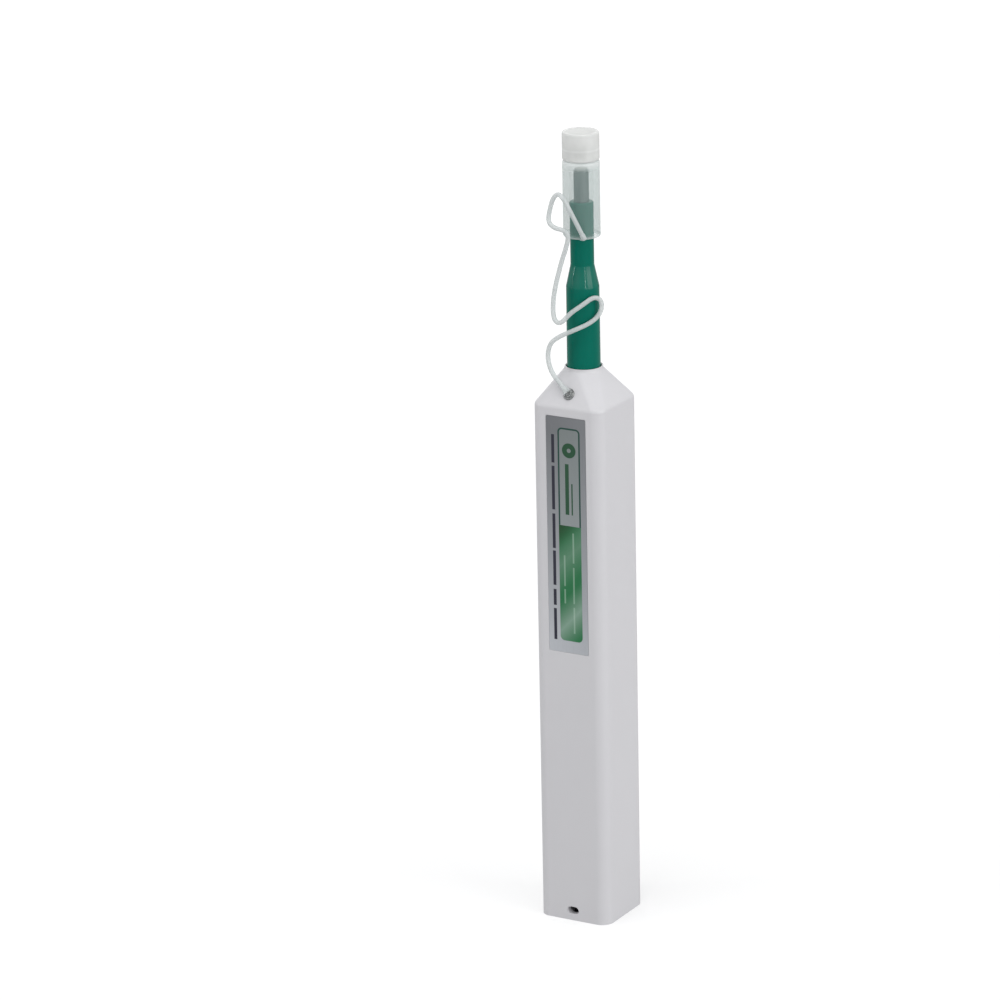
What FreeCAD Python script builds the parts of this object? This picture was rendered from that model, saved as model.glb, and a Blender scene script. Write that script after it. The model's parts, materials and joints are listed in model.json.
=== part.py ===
"""Fibre connector cleaning pen: a push-to-clean tool for ferrule end faces.

Frame: origin at the bottom centre, +Z along the pen towards its cap, -Y is the labelled face. Millimetres.
Pushing the nozzle into the housing drives a rack and pinion that winds used cleaning thread on a reel, while
a helical drum turns the cleaning tip half a turn. The driving sizes are cells of the sheet "sizes".
"""
import FreeCAD, Part
import math
import os
import Sketcher
from FreeCAD import Placement, Rotation, Vector

SIZES = {
    # housing
    "body_width": 18.0, "body_corner": 2.8, "body_wall": 1.4, "shoulder_start": 123.2, "shoulder_rise": 7.3,
    "shoulder_round": 0.8, "collar_height": 0.6, "collar_gap": 0.25, "collar_wall": 0.35,
    "collar_round": 0.15, "ledge_thickness": 1.5, "dome_land": 3.0,
    # rear plug and lanyard slot
    "plug_height": 7.2, "plug_gap": 0.1, "slot_width": 2.9, "slot_height": 1.8, "slot_level": 2.4,
    "spring_post": 6.0, "spring_post_height": 3.8,
    # label
    "label_width": 10.2, "label_length": 55.9, "label_gap": 2.05, "label_recess": 0.15,
    "label_thickness": 0.12,
    # carriage
    "slide_gap": 0.3, "ceiling_gap": 0.1, "frame_wall": 1.4, "side_wall": 0.9, "cover_thickness": 0.8,
    "foot_thickness": 4.0, "foot_drop": 13.0, "push_travel": 9.0, "screw_width": 1.2, "screw_head": 2.4,
    "screw_length": 4.0, "screw_edge": 1.6, "cut_over": 1.0,
    # reels
    "supply_drop": 16.0, "takeup_drop": 14.0, "takeup_flange": 10.0, "reel_gap": 0.2, "reel_play": 0.4,
    "reel_flange": 0.8, "reel_hub": 4.4, "reel_windows": 5.0, "axle_width": 1.6, "wound_margin": 0.6,
    "used_wound": 6.4, "running_gap": 0.05, "hub_collar": 3.6, "ratchet_count": 16.0,
    "ratchet_depth": 0.6, "pawl_thickness": 0.35, "pawl_rise": 1.5, "pawl_foot": 2.5,
    # rack and pinion
    "tooth_module": 0.8, "tooth_count": 10.0, "tooth_angle": 25.0, "tooth_addendum": 0.7,
    "tooth_dedendum": 0.9, "tooth_backlash": 0.12, "pinion_width": 2.5,
    # thread path
    "thread_width": 0.3, "roller_drop": 10.0, "roller_width": 2.0, "thread_offset": 1.0,
    # cam drum
    "drum_drop": 2.0, "drum_height": 18.0, "drum_gap": 0.7, "groove_depth": 1.2, "groove_height": 2.1,
    "groove_low": 4.0, "cam_pin_width": 1.4, "cam_pin_gap": 0.2, "pin_head": 2.5, "pin_head_depth": 0.7,
    "journal_width": 5.0, "journal_height": 2.3, "drum_bore": 2.8, "boss_gap": 0.1, "boss_height": 3.5,
    "dog_slot": 1.6, "dog_gap": 0.05, "dog_length": 3.1,
    # nozzle
    "flange_drop": 15.7, "nozzle_flange": 9.0, "nozzle_flange_height": 6.0, "nozzle_draft": 0.1,
    "nozzle_wide": 7.5, "nozzle_barrel": 37.6, "nozzle_taper": 5.0, "nozzle_narrow": 5.35,
    "nozzle_nose": 14.5, "nozzle_bore": 3.0, "tip_pocket": 6.3, "tip_pocket_depth": 4.5,
    "nozzle_round": 3.0, "nose_round": 0.3,
    # sleeve and cleaning tip
    "sleeve_width": 3.4, "sleeve_wall": 0.35, "sleeve_grip": 21.1, "sleeve_reach": 7.25, "press_gap": 0.01,
    "tip_gap": 0.15, "tip_flats": 1.5, "tip_proud": 0.35, "tip_collar_gap": 0.35, "tip_collar_height": 1.4,
    "tip_spring_gap": 0.3, "tip_spring_wire": 0.45, "tip_spring_turns": 3.0, "head_height": 2.2,
    "sleeve_bevel": 0.15,
    # caps
    "cap_gap": 0.075, "cap_side": 1.45, "cap_overlap": 7.95, "cap_end_gap": 0.65, "cap_end": 1.6,
    "cap_bevel": 0.4, "spigot_width": 5.6, "spigot_height": 0.8, "ferrule_bore": 2.56, "lid_height": 6.64,
    "lid_slack": 0.25, "lid_room": 2.65, "lid_gap": 0.1, "lid_round": 0.6, "hinge_out": 0.95,
    "hinge_width": 3.0, "hinge_strap": 0.3, "hinge_height": 2.6, "hinge_lug": 1.3,
    # return spring
    "spring_wire": 0.8, "spring_width": 9.0, "spring_turns": 4.0,
    # tether
    "tether_width": 1.05, "knob_up": 2.9, "knob_width": 2.6, "knob_depth": 1.0, "knob_rise": 1.4,
    "tether_tab": 1.7, "tether_tab_height": 0.8, "tether_boss": 1.6, "boss_side": 2.5, "boss_out": 4.5,
    "boss_up": 1.55,
}

doc = FreeCAD.newDocument("fibre_cleaning_pen")
sheet = doc.addObject("Spreadsheet::Sheet", "sizes")
for row, (word, number) in enumerate(SIZES.items(), start=1):
    sheet.set("A%d" % row, word)
    sheet.set("B%d" % row, str(number))
    sheet.setAlias("B%d" % row, word)
doc.recompute()


class Size:
    """A length that knows both its value and the expression that ties it to the sheet."""

    def __init__(self, value, text):
        self.value = float(value)
        self.text = text

    def joined(self, other, sign, value, swap=False):
        pair = [self.text, other.text if isinstance(other, Size) else repr(float(other))]
        return Size(value, "(%s %s %s)" % (pair[swap], sign, pair[1 - swap]))

    def __float__(self):
        return self.value

    def __add__(self, other):
        return self.joined(other, "+", self.value + float(other))

    def __sub__(self, other):
        return self.joined(other, "-", self.value - float(other))

    def __rsub__(self, other):
        return self.joined(other, "-", float(other) - self.value, swap=True)

    def __mul__(self, other):
        return self.joined(other, "*", self.value * float(other))

    def __truediv__(self, other):
        return self.joined(other, "/", self.value / float(other))

    def __neg__(self):
        return Size(-self.value, "(-%s)" % self.text)

    __radd__ = __add__
    __rmul__ = __mul__


class Sheet:
    """The cells of the sheet by name."""

    def __getattr__(self, word):
        return Size(sheet.get(word), "sizes." + word)


s = Sheet()

# The housing, its shoulder, its label and the tether's knob.
half = s.body_width / 2
inner = half - s.body_wall
ceiling = s.shoulder_start - s.ledge_thickness
neck_level = s.shoulder_start + s.shoulder_rise
collar_top = neck_level + s.collar_height
collar_bore = s.nozzle_wide + s.collar_gap * 2
collar_width = collar_bore + s.collar_wall * 2
label_top = s.shoulder_start - s.label_gap
label_bottom = label_top - s.label_length
knob_level = s.shoulder_start + s.knob_up

# The carriage and what it carries, from its head down to its foot.
reach = inner - s.slide_gap
carriage_top = ceiling - s.ceiling_gap
cover_face = reach - s.cover_thickness
cavity_half = reach - s.side_wall
nozzle_flange_level = ceiling - s.flange_drop
drum_top = nozzle_flange_level - s.drum_drop
drum_bottom = drum_top - s.drum_height
journal_bottom = drum_bottom - s.journal_height
seat_bottom = drum_top + s.spring_wire
roller_level = drum_bottom - s.roller_drop
takeup_level = roller_level - s.takeup_drop
supply_level = takeup_level - s.supply_drop
carriage_bottom = supply_level - s.foot_drop

# The reels between the frame's back and the pinion, and the drum between its sides.
pitch_radius = s.tooth_module * s.tooth_count / 2
pinion_left = cover_face - s.reel_play - s.pinion_width
reel_left = s.frame_wall - reach + s.reel_gap
reel_right = pinion_left - s.reel_play
reel_middle = (reel_left + reel_right) / 2
supply_flange = (cavity_half - s.reel_gap) * 2
fresh_wound = supply_flange - s.wound_margin * 2
drum_width = (cavity_half - s.drum_gap) * 2
groove_floor = drum_width / 2 - s.groove_depth
pin_level = drum_bottom + s.groove_low

# The nozzle, its sleeve and the cleaning tip.
flange_top = nozzle_flange_level + s.nozzle_flange_height
nozzle_base = s.nozzle_wide + s.nozzle_draft * 2
nozzle_wide_top = flange_top + s.nozzle_barrel
nozzle_narrow_start = nozzle_wide_top + s.nozzle_taper
nozzle_top = nozzle_narrow_start + s.nozzle_nose
sleeve_bore = s.sleeve_width - s.sleeve_wall * 2
sleeve_bottom = nozzle_top - s.sleeve_grip
sleeve_top = nozzle_top + s.sleeve_reach
pocket_top = nozzle_flange_level + s.tip_pocket_depth
tip_width = sleeve_bore - s.tip_gap * 2
tip_top = sleeve_top + s.tip_proud
tip_collar = s.tip_pocket - s.tip_collar_gap * 2
tip_collar_top = pocket_top - s.dog_gap
tip_collar_bottom = tip_collar_top - s.tip_collar_height
tip_spring_width = s.tip_pocket - s.tip_spring_gap * 2
boss_width = tip_spring_width - s.tip_spring_wire * 2 - s.boss_gap * 2

# The caps.
cap_bore = s.nozzle_narrow + s.cap_gap * 2
cap_width = cap_bore + s.cap_side * 2
cap_bottom = nozzle_top - s.cap_overlap
cap_wall_bottom = sleeve_top + s.cap_end_gap
cap_seam = cap_wall_bottom + s.cap_end
spigot_top = cap_seam + s.spigot_height
lid_bottom = cap_seam + s.lid_gap
lid_top = cap_seam + s.lid_height
lid_cavity = s.spigot_width + s.lid_slack * 2
lid_cavity_top = cap_seam + s.lid_room
hinge_reach = cap_width / 2 + s.hinge_out

SUBPARTS = []


# ---------------------------------------------------------------- ways of making a piece

def bind(thing, prop, size):
    """Ties a property to the sheet, or sets it when it is a plain number."""
    if isinstance(size, Size):
        thing.setExpression(prop, size.text)
    else:
        thing.setExpression(prop, repr(float(size)))


def piece(label):
    """A new body that becomes a sub-part of its own."""
    made = doc.addObject("PartDesign::Body", label)
    made.Label = label
    SUBPARTS.append(made)
    return made


def sketch_on(body, plane, offset=0):
    """A sketch on one of the body's own origin planes, shifted along its normal."""
    sketch = body.newObject("Sketcher::SketchObject", body.Name + "_sketch")
    support = [side for side in body.Origin.OriginFeatures if side.Role == plane][0]
    sketch.AttachmentSupport = [(support, "")]
    sketch.MapMode = "FlatFace"
    bind(sketch, "AttachmentOffset.Base.z", offset)
    return sketch


def hold(sketch, element, point, across, along):
    """Ties a point of the sketch to its place by two sizes."""
    for kind, size, axis in (("DistanceX", across, -2), ("DistanceY", along, -1)):
        if not isinstance(size, Size) and size == 0:
            sketch.addConstraint(Sketcher.Constraint("PointOnObject", element, point, axis))
        else:
            mark = Sketcher.Constraint(kind, -1, 1, element, point, float(size))
            number = sketch.addConstraint(mark)
            bind(sketch, "Constraints[%d]" % number, size)


def polygon(sketch, corners):
    """A closed outline of straight lines through the corners."""
    spots = [Vector(float(across), float(along), 0) for across, along in corners]
    first = sketch.GeometryCount
    count = len(spots)
    for index in range(count):
        sketch.addGeometry(Part.LineSegment(spots[index], spots[(index + 1) % count]))
    for index in range(count):
        following = first + (index + 1) % count
        sketch.addConstraint(Sketcher.Constraint("Coincident", first + index, 2, following, 1))
        hold(sketch, first + index, 1, *corners[index])


def ring(sketch, width, across=0, along=0):
    """A circle of this diameter."""
    centre = Vector(float(across), float(along), 0)
    number = sketch.addGeometry(Part.Circle(centre, Vector(0, 0, 1), float(width) / 2))
    mark = sketch.addConstraint(Sketcher.Constraint("Diameter", number, float(width)))
    bind(sketch, "Constraints[%d]" % mark, width)
    hold(sketch, number, 3, across, along)


def rounded_box(sketch, left, right, low, high, corner):
    """A rectangle with four round corners."""
    centres = [(right - corner, high - corner), (left + corner, high - corner),
               (left + corner, low + corner), (right - corner, low + corner)]
    arcs = []
    for index, (across, along) in enumerate(centres):
        circle = Part.Circle(Vector(float(across), float(along), 0), Vector(0, 0, 1), float(corner))
        start = index * math.pi / 2
        arcs.append(sketch.addGeometry(Part.ArcOfCircle(circle, start, start + math.pi / 2)))
    for index, arc in enumerate(arcs):
        following = arcs[(index + 1) % 4]
        ends = sketch.getPoint(arc, 2), sketch.getPoint(following, 1)
        line = sketch.addGeometry(Part.LineSegment(*ends))
        sketch.addConstraint(Sketcher.Constraint("Tangent", arc, 2, line, 1))
        sketch.addConstraint(Sketcher.Constraint("Tangent", line, 2, following, 1))
    for index, (arc, (across, along)) in enumerate(zip(arcs, centres)):
        if index == 0:
            mark = sketch.addConstraint(Sketcher.Constraint("Radius", arc, float(corner)))
            bind(sketch, "Constraints[%d]" % mark, corner)
        if index in (0, 2):
            hold(sketch, arc, 3, across, along)
    for arc in (arcs[1], arcs[2]):
        sketch.addConstraint(Sketcher.Constraint("Equal", arcs[0], arc))
    sketch.addConstraint(Sketcher.Constraint("Horizontal", arcs[0], 3, arcs[1], 3))


def pad(body, sketch, length):
    """Material from the sketch along its normal."""
    feature = body.newObject("PartDesign::Pad", "pad")
    feature.Profile = sketch
    bind(feature, "Length", length)
    return feature


def pocket(body, sketch, length, backwards=True):
    """A cut from the sketch, by default along its normal."""
    feature = body.newObject("PartDesign::Pocket", "pocket")
    feature.Profile = sketch
    feature.Reversed = backwards
    bind(feature, "Length", length)
    return feature


def turned(body, corners, cut=False):
    """A body of revolution about the body's own Z, or a cut of that form, from its half outline."""
    sketch = sketch_on(body, "XZ_Plane")
    polygon(sketch, corners)
    feature = body.newObject("PartDesign::Groove" if cut else "PartDesign::Revolution", "turned")
    feature.Profile = sketch
    feature.ReferenceAxis = (sketch, ["V_Axis"])
    feature.Angle = 360
    return feature


def drilled(body, width, low, high, across=0, along=0):
    """A round hole parallel to the body's Z between two levels."""
    sketch = sketch_on(body, "XY_Plane", low)
    ring(sketch, width, across, along)
    return pocket(body, sketch, high - low)


def slot_between(body, corners, low, high):
    """A straight cut parallel to the body's Z between two levels, with this outline."""
    sketch = sketch_on(body, "XY_Plane", low)
    polygon(sketch, corners)
    return pocket(body, sketch, high - low)


def copies(body, sketch, feature, count):
    """Even copies of a feature round the normal of its sketch."""
    pattern = body.newObject("PartDesign::PolarPattern", "copies")
    pattern.Originals = [feature]
    pattern.Axis = (sketch, ["N_Axis"])
    pattern.Angle = 360
    pattern.Occurrences = count
    body.Tip = pattern


def eased(body, kind, size, chosen):
    """A fillet or chamfer on the edges that the test picks."""
    doc.recompute()
    base = body.Tip
    names = ["Edge%d" % number for number, edge in enumerate(base.Shape.Edges, 1) if chosen(edge)]
    if not names:
        raise ValueError("%s has no edge to ease" % body.Label)
    feature = body.newObject("PartDesign::" + kind, kind.lower())
    feature.Base = (base, names)
    bind(feature, "Radius" if kind == "Fillet" else "Size", size)
    return feature


def ring_edge(width, level):
    """A test for a full circle of this diameter at this level."""
    def test(edge):
        curve = edge.Curve
        return (isinstance(curve, Part.Circle) and abs(curve.Radius - float(width) / 2) < 1e-4
                and abs(curve.Center.z - float(level)) < 1e-4)
    return test


def flat_edge(level):
    """A test for an edge that lies flat at this level."""
    def test(edge):
        box = edge.BoundBox
        return abs(box.ZMin - float(level)) < 1e-4 and abs(box.ZMax - float(level)) < 1e-4
    return test


def place(thing, across=0, along=0, level=0, turn=None):
    """Where the piece sits, with its sizes bound to the sheet."""
    if turn:
        thing.Placement = Placement(Vector(), turn)
    for axis, size in zip("xyz", (across, along, level)):
        bind(thing, "Placement.Base." + axis, size)


ACROSS = Rotation(Vector(0, 1, 0), 90)      # the body's own Z points along +X


def solid_piece(label, shape):
    """A sub-part whose shape is worked out in code."""
    made = doc.addObject("Part::Feature", label)
    made.Label = label
    made.Shape = shape
    made.Placement = Placement()
    SUBPARTS.append(made)
    return made


# ---------------------------------------------------------------- housing

def housing_shell():
    """One-piece square sleeve with a lofted shoulder, a round collar and an open rear."""
    shell = piece("housing_shell")
    outline = sketch_on(shell, "XY_Plane")
    rounded_box(outline, -half, half, -half, half, s.body_corner)
    pad(shell, outline, s.shoulder_start)
    square = sketch_on(shell, "XY_Plane", s.shoulder_start)
    rounded_box(square, -half, half, -half, half, s.body_corner)
    neck = sketch_on(shell, "XY_Plane", neck_level)
    neck_half = collar_width / 2
    rounded_box(neck, -neck_half, neck_half, -neck_half, neck_half, neck_half * 0.98)
    shoulder = shell.newObject("PartDesign::AdditiveLoft", "shoulder")
    shoulder.Profile = square
    shoulder.Sections = [neck]
    shoulder.Ruled = True
    eased(shell, "Fillet", s.shoulder_round, flat_edge(s.shoulder_start))
    collar = sketch_on(shell, "XY_Plane", neck_level)
    ring(collar, collar_width)
    pad(shell, collar, s.collar_height)
    eased(shell, "Fillet", s.collar_round, ring_edge(collar_width, collar_top))
    cavity = sketch_on(shell, "XY_Plane")
    rounded_box(cavity, -inner, inner, -inner, inner, s.body_corner - s.body_wall)
    pocket(shell, cavity, ceiling)
    drilled(shell, collar_bore, ceiling, collar_top)
    turned(shell, [(0, ceiling), (inner - s.body_wall, ceiling),
                   (collar_bore / 2, collar_top - s.dome_land), (0, collar_top - s.dome_land)], cut=True)
    face = sketch_on(shell, "XZ_Plane", half)
    edge = s.label_width / 2
    polygon(face, [(-edge, label_bottom), (edge, label_bottom), (edge, label_top), (-edge, label_top)])
    pocket(shell, face, s.label_recess, backwards=False)
    slot_cut(shell)
    recess = sketch_on(shell, "YZ_Plane", -(inner + s.pin_head_depth))
    ring(recess, s.pin_head + s.press_gap * 2, 0, pin_level)
    pocket(shell, recess, s.pin_head_depth + s.body_wall)
    knob_recess(shell)
    return shell


def slot_cut(body):
    """The lanyard slot, from the labelled face to the far one."""
    sketch = sketch_on(body, "XZ_Plane", -half)
    wide = s.slot_width / 2
    tall = s.slot_height / 2
    rounded_box(sketch, -wide, wide, s.slot_level - tall, s.slot_level + tall, tall * 0.98)
    pocket(body, sketch, s.body_width)


# The knob's centre line stands square to the sloping shoulder on the labelled side.
slope_run = half - collar_width / 2
slope_rise = s.shoulder_rise
SLOPE_TILT = math.degrees(math.atan2(float(slope_rise), float(slope_run)))
knob_out = half - slope_run * (knob_level - s.shoulder_start) / float(slope_rise)


def knob_recess(shell):
    """The round pocket for the tether knob in the shoulder."""
    bore = shell.newObject("PartDesign::SubtractiveCylinder", "knob_recess")
    bind(bore, "Radius", s.knob_width / 2 + s.running_gap)
    bind(bore, "Height", s.knob_depth * 2)
    along_slope = Rotation(Vector(1, 0, 0), SLOPE_TILT)
    start = along_slope.multVec(Vector(0, 0, -float(s.knob_depth)))
    bore.Placement = Placement(Vector(0, -float(knob_out), float(knob_level)) + start, along_slope)


def tether_knob():
    """The moulded knob that holds the tether in the shoulder."""
    knob = piece("tether_knob")
    base = -s.knob_depth + s.running_gap
    wide = s.knob_width / 2
    turned(knob, [(0, base), (wide, base), (wide, s.knob_rise), (0, s.knob_rise)])
    eased(knob, "Fillet", s.knob_width * 0.3, ring_edge(s.knob_width, s.knob_rise))
    along_slope = Rotation(Vector(1, 0, 0), SLOPE_TILT)
    knob.Placement = Placement(Vector(0, -float(knob_out), float(knob_level)), along_slope)


def end_plug():
    """Rear plug with the lanyard tunnel and the seat of the return spring."""
    plug = piece("end_plug")
    outer = inner - s.plug_gap
    outline = sketch_on(plug, "XY_Plane")
    rounded_box(outline, -outer, outer, -outer, outer, s.body_corner - s.body_wall - s.plug_gap)
    pad(plug, outline, s.plug_height)
    post = sketch_on(plug, "XY_Plane", s.plug_height)
    ring(post, s.spring_post)
    pad(plug, post, s.spring_post_height)
    eased(plug, "Chamfer", s.cap_bevel, ring_edge(s.spring_post, s.plug_height + s.spring_post_height))
    slot_cut(plug)


def face_label():
    """The thin label in its recess."""
    label = piece("face_label")
    back = half - s.label_recess
    sketch = sketch_on(label, "XZ_Plane", back)
    edge = s.label_width / 2 - s.running_gap
    polygon(sketch, [(-edge, label_bottom + s.running_gap), (edge, label_bottom + s.running_gap),
                     (edge, label_top - s.running_gap), (-edge, label_top - s.running_gap)])
    pad(label, sketch, s.label_thickness)


def cam_pin():
    """The fixed pin that the drum's groove rides on, headed into the housing wall."""
    pin = piece("cam_pin")
    head = -(inner + s.pin_head_depth) + s.press_gap
    shoulder = -inner - s.running_gap
    tip = -(groove_floor + s.cam_pin_gap)
    wide = s.cam_pin_width / 2
    turned(pin, [(0, head), (s.pin_head / 2, head), (s.pin_head / 2, shoulder), (wide, shoulder),
                 (wide, tip), (0, tip)])
    place(pin, level=pin_level, turn=ACROSS)


def involute(radius, base):
    """The angle that an involute has turned through where it meets this radius."""
    pressure = math.acos(min(1.0, base / radius))
    return math.tan(pressure) - pressure


def drive_rack():
    """The toothed strip on the housing wall."""
    module, slope = float(s.tooth_module), math.tan(math.radians(float(s.tooth_angle)))
    pitch = math.pi * module
    line = float(pitch_radius)
    tip, root = line - float(s.tooth_addendum), line + float(s.tooth_dedendum)
    wall, level = float(inner), float(takeup_level)
    flank = pitch / 4 - float(s.tooth_backlash) / 2
    left = float(pinion_left)
    outline = [Vector(left, wall, level - (RACK_BELOW + 0.5) * pitch)]
    for tooth in range(-RACK_BELOW, RACK_ABOVE + 1):
        middle = level + tooth * pitch
        wide, narrow = flank + (root - line) * slope, flank - (line - tip) * slope
        outline += [Vector(left, root, middle - wide), Vector(left, tip, middle - narrow),
                    Vector(left, tip, middle + narrow), Vector(left, root, middle + wide)]
    outline += [Vector(left, wall, level + (RACK_ABOVE + 0.5) * pitch)]
    face = Part.Face(Part.makePolygon(outline + outline[:1]))
    strip = face.extrude(Vector(float(s.pinion_width), 0, 0))
    solid_piece("drive_rack", strip)


RACK_BELOW, RACK_ABOVE = 5, 1


def drive_pinion():
    """The gear that the rack turns, with its hub against the frame cover."""
    count, module = round(float(s.tooth_count)), float(s.tooth_module)
    pitch = float(pitch_radius)
    base = pitch * math.cos(math.radians(float(s.tooth_angle)))
    tip, root = pitch + float(s.tooth_addendum), pitch - float(s.tooth_dedendum)
    half_tooth = (math.pi * module / 2 - float(s.tooth_backlash)) / 2 / pitch + involute(pitch, base)
    step = 2 * math.pi / count
    outline = []
    for tooth in range(count):
        middle = (tooth + 0.5) * step
        rising = [(radius, middle - half_tooth + involute(radius, base)) for radius in (base, pitch, tip)]
        falling = [(radius, middle + half_tooth - involute(radius, base)) for radius in (tip, pitch, base)]
        foot = [(root, middle - half_tooth)] + rising + falling + [(root, middle + half_tooth)]
        outline += [Vector(0, radius * math.cos(angle), radius * math.sin(angle)) for radius, angle in foot]
    left, width = float(pinion_left), float(s.pinion_width)
    gear = Part.Face(Part.makePolygon(outline + outline[:1])).extrude(Vector(width, 0, 0))
    gear.translate(Vector(left, 0, 0))
    hub_right = float(cover_face - s.ceiling_gap)
    hub_left = float(reel_right + s.ceiling_gap)
    along = Vector(1, 0, 0)
    hub = Part.makeCylinder(float(s.hub_collar) / 2, hub_right - hub_left, Vector(hub_left, 0, 0), along)
    bore = Part.makeCylinder(float(s.axle_width) / 2 + float(s.running_gap), hub_right - hub_left,
                             Vector(hub_left, 0, 0), along)
    made = solid_piece("drive_pinion", gear.fuse(hub).cut(bore).removeSplitter())
    place(made, level=takeup_level)


# ---------------------------------------------------------------- carriage

def open_side(body, wide, low, high):
    """A channel of this half width, round at its blind end, cut in from the cover's side."""
    sketch = sketch_on(body, "XY_Plane", low)
    rounded_box(sketch, -wide, cover_face + wide * 2, -wide, wide, wide * 0.98)
    pocket(body, sketch, high - low)


def carriage_frame():
    """The sliding frame: a foot, a back, two sides, two bulkheads and a head, open to the cover's side."""
    frame = piece("carriage_frame")
    outline = sketch_on(frame, "XY_Plane", carriage_bottom)
    polygon(outline, [(-reach, -reach), (cover_face, -reach), (cover_face, reach), (-reach, reach)])
    pad(frame, outline, carriage_top - carriage_bottom)
    eased(frame, "Fillet", s.body_corner - s.body_wall,
          lambda edge: edge.BoundBox.ZLength > 50 and edge.BoundBox.XMax < 0)
    back = s.frame_wall - reach
    beyond = cover_face + s.cut_over
    room = [(back, -cavity_half), (beyond, -cavity_half), (beyond, cavity_half), (back, cavity_half)]
    slot_between(frame, room, carriage_bottom + s.foot_thickness, journal_bottom)
    slot_between(frame, room, drum_bottom - s.running_gap, seat_bottom)
    open_side(frame, s.journal_width / 2 + s.running_gap, journal_bottom, drum_bottom)
    open_side(frame, tip_spring_width / 2 + s.cam_pin_gap, seat_bottom, nozzle_flange_level)
    open_side(frame, s.nozzle_flange / 2 + s.running_gap, nozzle_flange_level - s.running_gap,
              flange_top + s.running_gap)
    open_side(frame, nozzle_base / 2 + s.running_gap, flange_top, carriage_top)
    path = s.cam_pin_width / 2 + s.cam_pin_gap
    channel = [(-reach, -path), (-groove_floor, -path), (-groove_floor, path), (-reach, path)]
    slot_between(frame, channel, pin_level - path * 2, carriage_top)
    window_low = takeup_level - (RACK_BELOW + 1) * math.pi * s.tooth_module
    window_high = takeup_level + (RACK_ABOVE + 1) * math.pi * s.tooth_module + s.push_travel
    left = pinion_left - s.slide_gap
    window = [(left, cavity_half - s.cut_over), (beyond, cavity_half - s.cut_over),
              (beyond, reach + s.cut_over), (left, reach + s.cut_over)]
    slot_between(frame, window, window_low, window_high)
    post = sketch_on(frame, "XY_Plane", carriage_bottom - s.spring_post_height)
    ring(post, s.spring_post)
    pad(frame, post, s.spring_post_height)
    for level in (supply_level, takeup_level):
        across_hole(frame, s.axle_width + s.press_gap * 2, 0, level, -reach)
    across_hole(frame, s.roller_width / 2 + s.press_gap * 2, ROLLER_OUT, roller_level, -reach)
    for along, level in SCREW_SPOTS:
        across_hole(frame, s.screw_width + s.press_gap * 2, along, level, cover_face - s.screw_length)
    return frame


def across_hole(body, width, along, level, left):
    """A round hole along X from this side to the cover's side."""
    sketch = sketch_on(body, "YZ_Plane", left)
    ring(sketch, width, along, level)
    return pocket(body, sketch, s.body_width)


ROLLER_OUT = -(fresh_wound / 2 - s.roller_width / 2 - s.running_gap)
SCREW_SPOTS = [(side * (reach - s.screw_edge), level) for side in (-1, 1)
               for level in (carriage_bottom + s.foot_thickness / 2, carriage_top - s.foot_thickness)]


def frame_cover():
    """The plate that closes the carriage."""
    cover = piece("frame_cover")
    sketch = sketch_on(cover, "YZ_Plane", cover_face)
    polygon(sketch, [(-reach, carriage_bottom), (reach, carriage_bottom), (reach, carriage_top),
                     (-reach, carriage_top)])
    pad(cover, sketch, s.cover_thickness)
    eased(cover, "Chamfer", s.cover_thickness * 0.7,
          lambda edge: edge.BoundBox.ZLength > 50 and edge.BoundBox.XMin > float(cover_face) + 0.1)
    for level in (supply_level, takeup_level):
        across_hole(cover, s.axle_width + s.press_gap * 2, 0, level, cover_face)
    for along, level in SCREW_SPOTS:
        across_hole(cover, s.screw_width + s.press_gap * 2, along, level, cover_face)
        across_hole(cover, s.screw_head + s.press_gap * 2, along, level, reach - s.screw_head / 4)


def cover_screws():
    """Four small screws that hold the cover, as one group."""
    head, shank = float(s.screw_head) / 2, float(s.screw_width) / 2
    face, low = float(reach), float(cover_face - s.screw_length)
    drop = float(s.screw_head) / 4 - float(s.press_gap)
    along = Vector(1, 0, 0)
    group = []
    for across, level in SCREW_SPOTS:
        spot = Vector(0, float(across), float(level))
        screw = Part.makeCylinder(shank, face - low, spot + along * low, along)
        screw = screw.fuse(Part.makeCylinder(head, drop, spot + along * (face - drop), along))
        slot = Part.makeBox(drop, head * 2, drop / 2)
        slot.translate(spot + Vector(face - drop / 2, -head, -drop / 4))
        group.append(screw.cut(slot).removeSplitter())
    solid_piece("cover_screws", Part.makeCompound(group))


def axle(label, level):
    """A steel axle from the frame's back through its cover."""
    made = piece(label)
    wide = s.axle_width / 2
    turned(made, [(0, -reach), (wide, -reach), (wide, reach), (0, reach)])
    place(made, level=level, turn=ACROSS)


def reel(label, level, flange):
    """A flanged reel."""
    made = piece(label)
    bore, hub, wide = s.axle_width / 2 + s.running_gap, s.reel_hub / 2, flange / 2
    left, right = reel_left, reel_right
    turned(made, [(bore, left), (wide, left), (wide, left + s.reel_flange), (hub, left + s.reel_flange),
                  (hub, right - s.reel_flange), (wide, right - s.reel_flange), (wide, right), (bore, right)])
    windows = sketch_on(made, "XY_Plane", left)
    ring(windows, (wide - hub) * 0.45, (wide + hub) / 2, 0)
    copies(made, windows, pocket(made, windows, right - left), round(float(s.reel_windows)))
    place(made, level=level, turn=ACROSS)
    return made


def supply_reel():
    """The supply reel, with a long hub that keeps it off the cover."""
    made = reel("supply_reel", supply_level, supply_flange)
    bore = s.axle_width / 2 + s.running_gap
    turned(made, [(bore, reel_right - s.reel_flange / 2), (s.hub_collar / 2, reel_right - s.reel_flange / 2),
                  (s.hub_collar / 2, cover_face - s.ceiling_gap), (bore, cover_face - s.ceiling_gap)])


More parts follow.
